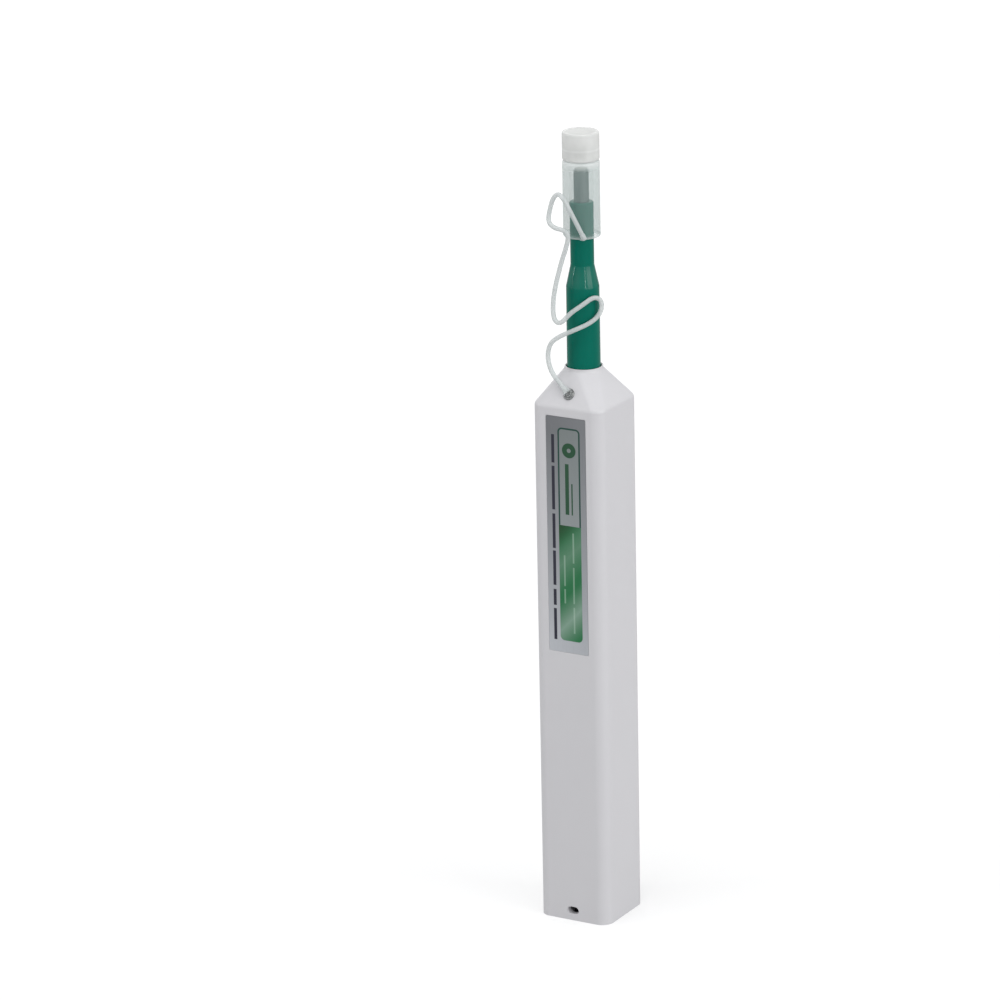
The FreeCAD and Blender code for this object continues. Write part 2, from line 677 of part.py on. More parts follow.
def takeup_reel():
    """The take-up reel, whose right flange carries ratchet teeth."""
    made = reel("takeup_reel", takeup_level, s.takeup_flange)
    doc.recompute()
    count = round(float(s.ratchet_count))
    edge, deep = s.takeup_flange / 2, s.ratchet_depth
    sketch = sketch_on(made, "XY_Plane", reel_right - s.reel_flange)
    step = 2 * math.pi / count
    beyond = edge * 1.02
    polygon(sketch, [(edge - deep, 0), (beyond, 0), (beyond * math.cos(step), beyond * math.sin(step))])
    copies(made, sketch, pocket(made, sketch, s.reel_flange), count)


def wound_thread(label, level, wound):
    """The thread on a reel."""
    made = piece(label)
    hub, wide = s.reel_hub / 2, wound / 2
    left, right = reel_left + s.reel_flange, reel_right - s.reel_flange
    turned(made, [(hub, left), (wide, left), (wide, right), (hub, right)])
    place(made, level=level, turn=ACROSS)


def ratchet_pawl():
    """The sprung finger that keeps the take-up reel from running back."""
    pawl = piece("ratchet_pawl")
    sketch = sketch_on(pawl, "YZ_Plane", reel_right - s.reel_flange)
    wall = cavity_half
    tip_out = s.takeup_flange / 2 - s.ratchet_depth / 2
    angle = math.radians(50)
    tip = (tip_out * math.cos(angle) + s.ratchet_depth,
           takeup_level + tip_out * math.sin(angle) + s.ratchet_depth)
    thick = s.pawl_thickness
    foot = takeup_level + s.takeup_flange / 2 + s.pawl_rise
    polygon(sketch, [tip, (wall - thick, foot), (wall - thick, foot + s.pawl_foot),
                     (wall, foot + s.pawl_foot), (wall, foot - thick * 2),
                     (tip[0] + thick, tip[1] - thick)])
    pad(pawl, sketch, s.reel_flange)


def roller_pin():
    """The pin under the thread roller."""
    pin = piece("roller_pin")
    wide = s.roller_width / 4
    turned(pin, [(0, -reach), (wide, -reach), (wide, reel_right), (0, reel_right)])
    place(pin, along=ROLLER_OUT, level=roller_level, turn=ACROSS)


def thread_roller():
    """The roller that leads fresh thread to the tip."""
    roller = piece("thread_roller")
    bore, wide = s.roller_width / 4 + s.running_gap, s.roller_width / 2
    left, right = s.frame_wall - reach + s.ceiling_gap, reel_right - s.reel_flange
    turned(roller, [(bore, left), (wide, left), (wide, right), (bore, right)])
    place(roller, along=ROLLER_OUT, level=roller_level, turn=ACROSS)


def cam_drum():
    """The drum whose helical groove turns the tip, with a journal below and a slotted boss above."""
    drum = piece("cam_drum")
    bore, wide = s.drum_bore / 2, drum_width / 2
    journal, boss = s.journal_width / 2, boss_width / 2
    boss_top = drum_top + s.boss_height
    turned(drum, [(bore, journal_bottom), (journal, journal_bottom), (journal, drum_bottom),
                  (wide, drum_bottom), (wide, drum_top), (boss, drum_top), (boss, boss_top),
                  (bore, boss_top)])
    profile = sketch_on(drum, "XZ_Plane")
    tall = s.groove_height / 2
    beyond = wide + s.cut_over
    polygon(profile, [(-groove_floor, pin_level - tall), (-beyond, pin_level - tall),
                      (-beyond, pin_level + tall), (-groove_floor, pin_level + tall)])
    groove = drum.newObject("PartDesign::SubtractiveHelix", "groove")
    groove.Profile = profile
    groove.ReferenceAxis = (profile, ["V_Axis"])
    groove.Mode = 0
    bind(groove, "Pitch", s.push_travel * 2)
    bind(groove, "Height", s.push_travel)
    path = s.cam_pin_width / 2 + s.cam_pin_gap
    entry = [(groove_floor, -path), (beyond, -path), (beyond, path), (groove_floor, path)]
    slot_between(drum, entry, pin_level + s.push_travel, drum_top)
    round_end(drum, path * 2, pin_level, -wide)
    round_end(drum, path * 2, pin_level + s.push_travel, groove_floor)
    slot = s.dog_slot / 2
    slot_between(drum, [(-slot, -wide), (slot, -wide), (slot, wide), (-slot, wide)],
                 drum_top + s.spring_wire / 2, boss_top)


def round_end(drum, width, level, left):
    """The round end of the groove, as deep as the groove, cut in from this place along X."""
    sketch = sketch_on(drum, "YZ_Plane", left)
    ring(sketch, width, 0, level)
    pocket(drum, sketch, s.groove_depth)


# ---------------------------------------------------------------- nozzle and tip

def nozzle():
    """The long green nozzle: a captive flange, a wide barrel and a narrow nose."""
    made = piece("nozzle")
    flange, base, wide, narrow = s.nozzle_flange / 2, nozzle_base / 2, s.nozzle_wide / 2, s.nozzle_narrow / 2
    seat = s.sleeve_width / 2 + s.press_gap
    bore, room = s.nozzle_bore / 2, s.tip_pocket / 2
    turned(made, [(room, nozzle_flange_level), (flange, nozzle_flange_level), (flange, flange_top),
                  (base, flange_top), (wide, nozzle_wide_top), (narrow, nozzle_narrow_start),
                  (narrow, nozzle_top), (seat, nozzle_top), (seat, sleeve_bottom), (bore, sleeve_bottom),
                  (bore, pocket_top), (room, pocket_top)])
    eased(made, "Fillet", s.nozzle_round, ring_edge(s.nozzle_wide, nozzle_wide_top))
    eased(made, "Fillet", s.nozzle_round, ring_edge(s.nozzle_narrow, nozzle_narrow_start))
    eased(made, "Fillet", s.nose_round, ring_edge(s.nozzle_narrow, nozzle_top))


def guide_sleeve():
    """The steel tube in the nozzle's nose."""
    sleeve = piece("guide_sleeve")
    bore, wide = sleeve_bore / 2, s.sleeve_width / 2
    turned(sleeve, [(bore, sleeve_bottom), (wide, sleeve_bottom), (wide, sleeve_top), (bore, sleeve_top)])
    eased(sleeve, "Chamfer", s.sleeve_bevel, ring_edge(s.sleeve_width, sleeve_top))


def cleaning_tip():
    """The long cleaning tip: a drive tongue, a spring collar, a flatted shaft and a round head."""
    tip = piece("cleaning_tip")
    wide = tip_width / 2
    collar = tip_collar / 2
    turned(tip, [(0, tip_collar_bottom), (collar, tip_collar_bottom), (collar, tip_collar_top),
                 (wide, tip_collar_top), (wide, tip_top), (0, tip_top)])
    flat = s.tip_flats / 2
    for side in (-1, 1):
        slot_between(tip, [(side * flat, -wide), (side * wide * 2, -wide), (side * wide * 2, wide),
                           (side * flat, wide)], tip_collar_top, tip_top - s.head_height)
        gate = s.thread_width / 2 + s.running_gap
        slot_between(tip, [(side * flat, -gate), (side * wide * 1.1, -gate), (side * wide * 1.1, gate),
                           (side * flat, gate)], tip_top - s.head_height * 2, tip_top)
        drilled(tip, s.thread_width * 2, tip_collar_bottom, tip_collar_top, side * s.thread_offset)
    groove = sketch_on(tip, "XY_Plane", tip_top - s.thread_width)
    polygon(groove, [(-wide, -gate), (wide, -gate), (wide, gate), (-wide, gate)])
    pocket(tip, groove, s.thread_width)
    tongue = sketch_on(tip, "XY_Plane", tip_collar_bottom - s.dog_length)
    thin = s.dog_slot / 2 - s.dog_gap
    long = boss_width / 2 - s.dog_gap
    polygon(tongue, [(-thin, -long), (thin, -long), (thin, long), (-thin, long)])
    pad(tip, tongue, s.dog_length)


def tip_thread():
    """The thread where it crosses the face of the tip."""
    band = piece("tip_thread")
    low = tip_top - s.head_height * 2
    outer = s.thread_offset + s.thread_width / 2
    within = s.thread_offset - s.thread_width / 2
    sketch = sketch_on(band, "XZ_Plane", -s.thread_width / 2)
    polygon(sketch, [(-outer, low), (-within, low), (-within, tip_top - s.thread_width),
                     (within, tip_top - s.thread_width), (within, low), (outer, low), (outer, tip_top),
                     (-outer, tip_top)])
    pad(band, sketch, s.thread_width)


def tube(points, width):
    """A round tube along straight runs joined by tangent arcs; it also returns the arcs' radii."""
    runs = [points[index + 1] - points[index] for index in range(len(points) - 1)]
    edges, radii, start = [], [], points[0]
    for index in range(1, len(points) - 1):
        arriving, leaving = runs[index - 1], runs[index]
        turn = arriving.getAngle(leaving)
        cut = 0.45 * min(arriving.Length, leaving.Length)
        radii.append(cut / math.tan(turn / 2))
        entry = points[index] - arriving.normalize() * cut
        runs[index - 1] = points[index] - points[index - 1]
        leaving = Vector(leaving).normalize()
        leave = points[index] + leaving * cut
        middle = points[index] + (entry + leave - points[index] * 2).normalize() * (
            radii[-1] * (1 / math.cos(turn / 2) - 1))
        edges += [Part.LineSegment(start, entry).toShape(), Part.Arc(entry, middle, leave).toShape()]
        start = leave
    edges.append(Part.LineSegment(start, points[-1]).toShape())
    spine = Part.Wire(edges)
    section = Part.Wire(Part.makeCircle(width / 2, points[0], points[1] - points[0]))
    made = spine.makePipe(Part.Face(section))
    return made, radii, spine.Length


def coil(mean, wire, low, high, turns, flat_wire=False):
    """A compression spring: half rings that are tilted in turn, with a flat half ring at each end."""
    steps = round(turns * 2)
    bottom, top = low + wire / 2, high - wire / 2
    rise = (top - bottom) / steps
    edges, level, side = [], bottom, 1
    for rises in [0] + [rise] * steps + [0]:
        start, end = Vector(side * mean, 0, level), Vector(-side * mean, 0, level + rises)
        middle = (start + end) * 0.5 + Vector(0, side * (end - start).Length / 2, 0)
        edges.append(Part.Arc(start, middle, end).toShape())
        level, side = level + rises, -side
    spine = Part.Wire(edges)
    if flat_wire:
        corners = [Vector(mean + across * wire / 2, 0, bottom + along * wire / 2)
                   for across, along in ((-1, -1), (1, -1), (1, 1), (-1, 1))]
        section = Part.makePolygon(corners + corners[:1])
    else:
        section = Part.Wire(Part.makeCircle(wire / 2, Vector(mean, 0, bottom), Vector(0, 1, 0)))
    return spine.makePipe(Part.Face(section))


# The tether leaves the knob, swings round the nozzle on its labelled side and ends at the cap's rim.
TETHER = [Vector(*point) for point in (
    (0.0, -7.74, 126.5), (-1.7, -7.3, 128.0), (-4.4, -7.2, 130.6), (-5.6, -6.8, 134.0), (-4.9, -6.8, 137.2),
    (-2.7, -6.7, 139.0), (0.4, -5.7, 140.5), (3.1, -3.4, 141.8), (4.6, -1.4, 143.2), (5.2, -0.4, 145.4),
    (4.9, -0.9, 147.3), (4.0, -2.5, 148.0), (2.3, -4.4, 146.4), (-0.1, -6.1, 144.5), (-1.9, -6.7, 142.2),
    (-3.5, -6.7, 142.4), (-4.3, -6.3, 144.6), (-4.1, -5.9, 149.1), (-2.4, -5.4, 156.0), (-0.8, -5.8, 159.8),
    (0.0, -6.1, 162.6), (-1.0, -6.5, 163.8), (-3.5, -6.7, 164.1), (-5.1, -6.4, 165.4), (-4.6, -6.2, 168.3),
    (-3.7, -6.3, 170.9), (-2.3, -6.4, 172.1), (-0.9, -6.4, 170.9), (0.5, -6.0, 168.0))]
# Its last run comes down to the boss on the cap's rim.
BOSS_LEAN = Vector(0.8, 0.7, -2.3)
BOSS_END = Vector(float(s.boss_side), -float(s.boss_out), float(cap_bottom + s.boss_up))
TETHER += [BOSS_END - BOSS_LEAN, BOSS_END]


def tether():
    """The soft cord that keeps the guide cap with the pen."""
    made, radii, length = tube(TETHER, float(s.tether_width))
    print("tether bends (mm):", ", ".join("%.1f" % radius for radius in radii))
    section = math.pi * float(s.tether_width) ** 2 / 4
    print("tether length %.1f mm, volume %.2f mm3, section times length %.2f" % (
        length, made.Volume, section * length))
    solid_piece("tether", made)


def return_spring():
    """The spring that pushes the carriage forward again."""
    mean = float(s.spring_width - s.spring_wire) / 2
    solid_piece("return_spring", coil(mean, float(s.spring_wire), float(s.plug_height),
                                      float(carriage_bottom), float(s.spring_turns)))


def tip_spring():
    """The small spring that presses the tip against the ferrule."""
    wire = float(s.tip_spring_wire)
    solid_piece("tip_spring", coil(float(tip_spring_width) / 2 - wire / 2, wire, float(drum_top),
                                   float(tip_collar_bottom - s.running_gap), float(s.tip_spring_turns),
                                   flat_wire=True))


def thread_run():
    """Fresh thread going up from its reel to the tip, and used thread coming back."""
    width = float(s.thread_width)
    middle, aside = float(reel_middle), float(s.thread_offset)
    entry, end = float(journal_bottom) - width * 3, float(tip_top - s.head_height * 2)
    fresh_out = -float(fresh_wound) / 2 - width / 2 - float(s.running_gap)
    used_out = -float(s.used_wound) / 2 - width
    above_roller = float(roller_level + s.roller_width / 2)
    fresh = [Vector(middle, fresh_out, float(supply_level)), Vector(middle, fresh_out, above_roller),
             Vector(-aside, 0, entry), Vector(-aside, 0, end)]
    used = [Vector(middle, used_out, float(takeup_level)), Vector(aside, 0, entry), Vector(aside, 0, end)]
    group = [bent_thread(points, width) for points in (fresh, used)]
    solid_piece("thread_run", Part.makeCompound(group))


def bent_thread(points, width):
    """Straight runs of thread with a ball at each bend."""
    made = None
    for start, end in zip(points, points[1:]):
        run = Part.makeCylinder(width / 2, (end - start).Length, start, end - start)
        made = run if made is None else made.fuse(run).fuse(Part.makeSphere(width / 2, start))
    return made.removeSplitter()


# ---------------------------------------------------------------- caps

REARWARD = Rotation(Vector(0, 0, 1), 30)      # the caps' hinge faces away from the labelled corner


def guide_cap():
    """The guide cap: a tube with a thick end that leads a ferrule to the tip, with its hinge and tether."""
    cap = piece("guide_cap")
    wide, bore, hole, spigot = cap_width / 2, cap_bore / 2, s.ferrule_bore / 2, s.spigot_width / 2
    turned(cap, [(bore, cap_bottom), (wide, cap_bottom), (wide, cap_seam), (spigot, cap_seam),
                 (spigot, spigot_top), (hole, spigot_top), (hole, cap_wall_bottom), (bore, cap_wall_bottom)])
    eased(cap, "Chamfer", s.cap_bevel, ring_edge(cap_width, cap_seam))
    eased(cap, "Chamfer", s.cap_bevel, ring_edge(cap_width, cap_bottom))
    lug_right = hinge_reach - s.hinge_strap / 2
    low = cap_seam - s.hinge_height / 2
    inside = wide - s.hinge_strap * 2
    hinge_lug(cap, [(inside, low - s.hinge_lug), (lug_right, low), (lug_right, cap_seam - s.cap_bevel / 2),
                    (inside, cap_seam - s.cap_bevel / 2)])
    tether_tab(cap, inside)
    place(cap, turn=REARWARD)


def tether_tab(cap, inside):
    """The tab on the cap's rim and the short boss that takes the tether's end."""
    outer = cap_width / 2 + s.tether_tab
    side = s.tether_boss / 2
    tab = sketch_on(cap, "XY_Plane", cap_bottom)
    polygon(tab, [(-side, -outer), (side, -outer), (side, -inside), (-side, -inside)])
    pad(cap, tab, s.tether_tab_height)
    lean = Vector(BOSS_LEAN).normalize()
    length = float(s.boss_up - s.tether_tab_height / 2) / -lean.z
    boss = cap.newObject("PartDesign::AdditiveCylinder", "boss")
    bind(boss, "Radius", s.tether_boss / 2)
    boss.Height = length
    foot = REARWARD.inverted().multVec(BOSS_END + lean * length)
    boss.Placement = Placement(foot, Rotation(Vector(0, 0, 1), REARWARD.inverted().multVec(lean * -1)))


def hinge_lug(body, corners):
    """A lug of the hinge's width with this side outline."""
    sketch = sketch_on(body, "YZ_Plane", -s.hinge_width / 2)
    polygon(sketch, corners)
    pad(body, sketch, s.hinge_width)


def cap_lid():
    """The flip lid, hollow over the guide cap's spigot."""
    lid = piece("cap_lid")
    wide, room = cap_width / 2, lid_cavity / 2
    turned(lid, [(room, lid_bottom), (wide, lid_bottom), (wide, lid_top), (0, lid_top),
                 (0, lid_cavity_top), (room, lid_cavity_top)])
    eased(lid, "Chamfer", s.cap_bevel, ring_edge(cap_width, lid_bottom))
    eased(lid, "Fillet", s.lid_round, ring_edge(cap_width, lid_top))
    lug_right = hinge_reach - s.hinge_strap / 2
    high = cap_seam + s.hinge_height / 2
    inside = wide - s.hinge_strap * 2
    hinge_lug(lid, [(inside, cap_seam + s.cap_bevel / 2), (lug_right, cap_seam + s.cap_bevel / 2),
                    (lug_right, high), (inside, high + s.hinge_lug)])
    place(lid, turn=REARWARD)


def lid_hinge():
    """The living hinge: a thin strap between the two lugs."""
    strap = piece("lid_hinge")
    near = hinge_reach - s.hinge_strap / 2
    low, high = cap_seam - s.hinge_height / 2, cap_seam + s.hinge_height / 2
    hinge_lug(strap, [(near, low), (near + s.hinge_strap, low), (near + s.hinge_strap, high), (near, high)])
    place(strap, turn=REARWARD)


housing_shell()
end_plug()
face_label()
tether_knob()
tether()
cam_pin()
drive_rack()
return_spring()
carriage_frame()
frame_cover()
cover_screws()
axle("supply_axle", supply_level)
axle("takeup_axle", takeup_level)
supply_reel()
wound_thread("fresh_thread", supply_level, fresh_wound)
takeup_reel()
wound_thread("used_thread", takeup_level, s.used_wound)
drive_pinion()
ratchet_pawl()
roller_pin()
thread_roller()
thread_run()
cam_drum()
tip_spring()
nozzle()
guide_sleeve()
cleaning_tip()
tip_thread()
guide_cap()
cap_lid()
lid_hinge()

doc.recompute()
faults = [thing.Name for thing in doc.Objects if {"Invalid", "Error"} & set(thing.State)]
if faults:
    raise ValueError("these failed: " + ", ".join(faults))
os.makedirs("parts", exist_ok=True)
for part in SUBPARTS:
    if part.Shape.isNull() or not part.Shape.isValid():
        raise ValueError(part.Label + " has no valid shape")
for part in SUBPARTS:
    part.Shape.exportStep("parts/%s.step" % part.Label)
    print("%-16s %9.2f mm3, %d solids, %d faces" % (part.Label, part.Shape.Volume, len(part.Shape.Solids),
                                                    len(part.Shape.Faces)))
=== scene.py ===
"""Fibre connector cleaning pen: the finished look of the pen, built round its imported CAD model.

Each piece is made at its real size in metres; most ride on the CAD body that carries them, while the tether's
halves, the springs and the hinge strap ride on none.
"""
import json
import math

import bpy
from mathutils import Matrix, Vector

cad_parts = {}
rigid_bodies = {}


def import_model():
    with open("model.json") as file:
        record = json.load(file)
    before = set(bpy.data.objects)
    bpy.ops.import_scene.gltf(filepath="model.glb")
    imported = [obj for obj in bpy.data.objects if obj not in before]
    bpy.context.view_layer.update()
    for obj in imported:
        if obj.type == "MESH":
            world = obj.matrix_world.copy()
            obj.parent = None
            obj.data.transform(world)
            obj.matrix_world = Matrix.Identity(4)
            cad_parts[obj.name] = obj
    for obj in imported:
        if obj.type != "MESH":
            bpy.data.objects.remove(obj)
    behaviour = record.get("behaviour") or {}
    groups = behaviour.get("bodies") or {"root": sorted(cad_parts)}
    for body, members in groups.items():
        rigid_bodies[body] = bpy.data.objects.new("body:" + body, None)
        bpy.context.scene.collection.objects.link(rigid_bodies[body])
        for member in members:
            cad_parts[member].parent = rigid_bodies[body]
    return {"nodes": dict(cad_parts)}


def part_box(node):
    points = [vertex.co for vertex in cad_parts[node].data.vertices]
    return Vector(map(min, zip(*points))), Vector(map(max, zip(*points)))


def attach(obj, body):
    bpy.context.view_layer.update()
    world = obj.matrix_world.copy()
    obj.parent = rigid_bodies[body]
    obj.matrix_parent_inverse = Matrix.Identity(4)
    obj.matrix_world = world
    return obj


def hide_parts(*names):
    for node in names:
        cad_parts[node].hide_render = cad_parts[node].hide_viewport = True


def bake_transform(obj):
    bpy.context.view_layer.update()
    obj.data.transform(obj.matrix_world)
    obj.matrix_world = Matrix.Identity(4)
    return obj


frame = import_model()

for leftover in [thing for thing in bpy.data.objects if thing.name in ("Cube", "Camera", "Light")]:
    bpy.data.objects.remove(leftover)
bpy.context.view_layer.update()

bl_info = {
    "name": "Fibre connector cleaning pen",
    "version": (1, 0, 0),
    "blender": (4, 5, 0),
    "location": "View3D > Sidebar > Cleaning Pen",
    "description": "Builds the pieces of a push-to-clean pen for fibre connectors",
    "category": "Add Mesh",
}

MM = 0.001
TINY = 1e-6                     # metres: places nearer than this are the same
MERGE = 1e-7                    # metres: vertices nearer than this become one
ROUND = 0.98                    # share of a square's half width that makes its corners a circle
TURN = math.radians(30)         # the hinge of cap and lid stands this far round from the back face


def low(node):
    """The lowest corner of a CAD node."""
    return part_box(node)[0]


def high(node):
    """The highest corner of a CAD node."""
    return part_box(node)[1]


# ---------------------------------------------------------------- sizes and colours

def length(name, default, description):
    """A size in metres."""
    return bpy.props.FloatProperty(name=name, default=default, description=description, min=0.0,
                                   precision=5, subtype="DISTANCE", unit="LENGTH")


def colour(name, default, description):
    """A colour as it is written in sRGB, from 0 to 255."""
    return bpy.props.FloatVectorProperty(name=name, default=[written(value) for value in default],
                                         description=description, size=3, min=0.0, max=1.0,
                                         subtype="COLOR")


def written(value):
    """The linear value of an sRGB one."""
    share = value / 255
    return share / 12.92 if share <= 0.04045 else ((share + 0.055) / 1.055) ** 2.4


class HousingSizes(bpy.types.PropertyGroup):
    """Sizes of the square body."""
    corner: length("Corner radius", 2.8 * MM, "Radius of the body's long edges")
    wall: length("Wall", 1.4 * MM, "Thickness of the body's wall")
    shoulder: length("Shoulder height", 123.2 * MM, "Height where the body starts to taper")
    shoulder_round: length("Shoulder rounding", 0.45 * MM, "Softening of the taper's lower edge")
    collar: length("Collar width", 8.7 * MM, "Outer width of the round collar")
    collar_bore: length("Collar bore", 8.0 * MM, "Bore of the collar")
    collar_rise: length("Collar rise", 0.6 * MM, "Height of the collar above the taper")
    rim: length("Rim rounding", 0.14 * MM, "Softening of cut edges")
    foot: length("Foot rounding", 0.38 * MM, "Rounding of the rear end's outer edge")


class NozzleSizes(bpy.types.PropertyGroup):
    """Sizes of the green nozzle."""
    wide: length("Barrel width", 7.5 * MM, "Width of the barrel under the step")
    narrow: length("Nose width", 5.35 * MM, "Width of the nose")
    step_low: length("Step bottom", 149.6 * MM, "Height where the barrel starts to narrow")
    step_high: length("Step top", 154.6 * MM, "Height where the nose starts")
    sleeve: length("Sleeve width", 3.4 * MM, "Outer width of the steel sleeve")


class CapSizes(bpy.types.PropertyGroup):
    """Sizes of the guide cap and its lid."""
    width: length("Cap width", 8.4 * MM, "Outer width of the cap and the lid")
    bore: length("Cap bore", 5.5 * MM, "Bore of the guide cap over the nose")
    seam: length("Seam height", 178.6 * MM, "Height of the seam between cap and lid")
    ferrule: length("Ferrule bore", 2.56 * MM, "Bore that leads the ferrule to the tip")
    edge: length("Edge rounding", 0.4 * MM, "Rounding of the cap's rims")
    lid_edge: length("Lid rounding", 0.35 * MM, "Rounding of the lid's top edge")


class TetherSizes(bpy.types.PropertyGroup):
    """Sizes of the tether."""
    width: length("Tether width", 1.05 * MM, "Thickness of the tether")
    foot: length("Tether foot", 2.2 * MM, "Width of the tether where it meets its knob")


class Colours(bpy.types.PropertyGroup):
    """Colours of the pen."""
    body: colour("Body", (210, 209, 212), "Light grey moulding of the body")
    nozzle: colour("Nozzle", (0, 104, 88), "Deep green moulding of the nozzle")
    frosted: colour("Frosted cap", (154, 176, 172), "Haze of the frosted cap")
    lid: colour("Lid", (226, 227, 225), "Milky lid")
    tether: colour("Tether", (212, 217, 217), "Clear soft plastic of the tether")
    print_green: colour("Print green", (20, 109, 62), "Green field of the label")
    film: colour("Label film", (176, 179, 184), "Silver film of the label")
    ink: colour("Ink", (30, 31, 48), "Dark ink of the label")


# ---------------------------------------------------------------- finishes

class Wire:
    """A socket that can be used in plain sums; each sum adds its Math node."""

    def __init__(self, finish, socket):
        self.finish, self.socket = finish, socket

    def sum(self, operation, *terms):
        return self.finish.add("ShaderNodeMath", {"operation": operation}, *terms)

    def __add__(self, other):
        return self.sum("ADD", self, other)

    def __sub__(self, other):
        return self.sum("SUBTRACT", self, other)

    def __rsub__(self, other):
        return self.sum("SUBTRACT", other, self)

    def __mul__(self, other):
        return self.sum("MULTIPLY", self, other)

    def __truediv__(self, other):
        return self.sum("DIVIDE", self, other)

    def __rtruediv__(self, other):
        return self.sum("DIVIDE", other, self)

    def __pow__(self, other):
        return self.sum("POWER", self, other)

    def __abs__(self):
        return self.sum("ABSOLUTE", self)

    __radd__ = __add__
    __rmul__ = __mul__

    def over(self, other):
        return self.sum("MAXIMUM", self, other)

    def under(self, other):
        return self.sum("MINIMUM", self, other)

    def share(self):
        """Kept between 0 and 1."""
        return self.over(0.0).under(1.0)

    def steps(self, start, end):
        """0 before start and 1 after end, smooth between."""
        return self.finish.add("ShaderNodeMapRange", {"interpolation_type": "SMOOTHSTEP"}, self, start, end)

    def band(self, start, full, fade, end):
        """1 from full to fade, and 0 before start and after end."""
        return self.steps(start, full) * (1 - self.steps(fade, end))

    def peak(self, middle, reach):
        """1 at the middle, falling evenly to 0 this far from it."""
        return 1 - (abs(self - middle) / reach).share()


class Finish:
    """A material made of nodes, with positions in millimetres on the piece."""

    def __init__(self, name, **constants):
        self.material = bpy.data.materials.new(name)
        self.material.use_nodes = True
        self.nodes, self.links = self.material.node_tree.nodes, self.material.node_tree.links
        self.shader = self.nodes["Principled BSDF"]
        for word, value in constants.items():
            self.feeds(word.replace("_", " "), value)
        spot = Wire(self, self.nodes.new("ShaderNodeTexCoord").outputs["Object"])
        self.place = self.add("ShaderNodeVectorMath", {"operation": "SCALE"}, spot, Scale=1 / MM)
        split = self.nodes.new("ShaderNodeSeparateXYZ")
        self.links.new(self.place.socket, split.inputs[0])
        self.x, self.y, self.z = (Wire(self, socket) for socket in split.outputs)

    def join(self, socket, value):
        """Leads a wire into a socket, or sets it to a number, vector or colour."""
        if isinstance(value, Wire):
            self.links.new(value.socket, socket)
        else:
            socket.default_value = (*value, 1) if socket.type == "RGBA" else value

    def add(self, kind, settings=None, *values, **named):
        """A node with its settings, then the values or wires of its sockets, in order or by name."""
        node = self.nodes.new(kind)
        for word, value in (settings or {}).items():
            setattr(node, word, value)
        for key, value in [*enumerate(values), *named.items()]:
            self.join(node.inputs[key], value)
        return Wire(self, node.outputs[0])

    def stretched(self, across, deep, along):
        """The position with each axis scaled, for patterns that run one way."""
        return self.add("ShaderNodeVectorMath", {"operation": "MULTIPLY"}, self.place, (across, deep, along))

    def noise(self, scale, detail=2.0, rough=0.5, where=None):
        """Even noise from 0 to 1, with this many grains per millimetre."""
        return self.add("ShaderNodeTexNoise", None, Vector=where or self.place, Scale=scale, Detail=detail,
                        Roughness=rough)

    def switches(self, wire, stops):
        """A grey that keeps the value of each stop of (place, grey) until the next one."""
        node = self.nodes.new("ShaderNodeValToRGB")
        node.color_ramp.interpolation = "CONSTANT"
        elements = node.color_ramp.elements
        while len(elements) < len(stops):
            elements.new(0.5)
        for element, (where, grey) in zip(elements, stops):
            element.position, element.color = where, (grey, grey, grey, 1)
        self.links.new(wire.socket, node.inputs[0])
        return Wire(self, node.outputs[0])

    def mix(self, share, first, second):
        """From the first colour to the second."""
        node = self.nodes.new("ShaderNodeMix")
        node.data_type = "RGBA"
        for number, value in ((0, share), (6, first), (7, second)):
            self.join(node.inputs[number], value)
        return Wire(self, node.outputs[2])

    def feeds(self, word, value):
        """Leads a wire or a value into one of the shader's sockets."""
        self.join(self.shader.inputs[word], value)

    def relief(self, height, distance):
        """Bumps of this depth in metres from a height of 0 to 1."""
        self.feeds("Normal", self.add("ShaderNodeBump", None, Strength=1.0, Distance=distance, Height=height))


def shade(colour_value, factor):
    """A colour made lighter or darker."""
    return tuple(min(1.0, channel * factor) for channel in colour_value)


def hypotenuse(across, along):
    """The length of the slope over these two wires."""
    return (across ** 2.0 + along ** 2.0) ** 0.5


def moulded(name, base, rough=0.42, grain=0.012, spread=0.03, **constants):
    """Moulded plastic: fine spark-eroded grain, faint flow clouds and a little wear in its shine."""
    finish = Finish(name, **{"Specular_IOR_Level": 0.4, **constants})
    clouds = finish.noise(0.16, 3.0, 0.55)
    specks = finish.noise(5.0, 2.0, 0.6)
    finish.feeds("Base Color", finish.mix(clouds, shade(base, 1 - spread), shade(base, 1 + spread)))
    finish.feeds("Roughness", (specks - 0.5) * 0.16 + (clouds - 0.5) * 0.12 + rough)
    finish.relief(finish.noise(7.0, 3.0, 0.6), grain * MM)
    return finish.material


def glossy_green(base):
    """Green plastic with faint flow clouds, hair-fine rubs where it slides, and more gloss on its step."""
    finish = Finish("nozzle_green", Specular_IOR_Level=0.12, Coat_Roughness=0.09)
    flow = finish.noise(1.0, 3.0, 0.5, finish.stretched(0.5, 0.5, 0.06))
    rubs = finish.noise(1.0, 4.0, 0.7, finish.stretched(14.0, 14.0, 0.35))
    finish.feeds("Base Color", finish.mix(flow, shade(base, 0.9), shade(base, 1.12)))
    worn, polished = finish.z.band(131.0, 133.5, 139.0, 141.0), finish.z.band(148.6, 151.2, 152.8, 155.4)
    finish.feeds("Roughness", rubs * (worn * 0.10 + 0.05) + 0.11)
    finish.feeds("Coat Weight", polished * 0.36)
    finish.relief(rubs, 0.0016 * MM)
    return finish.material


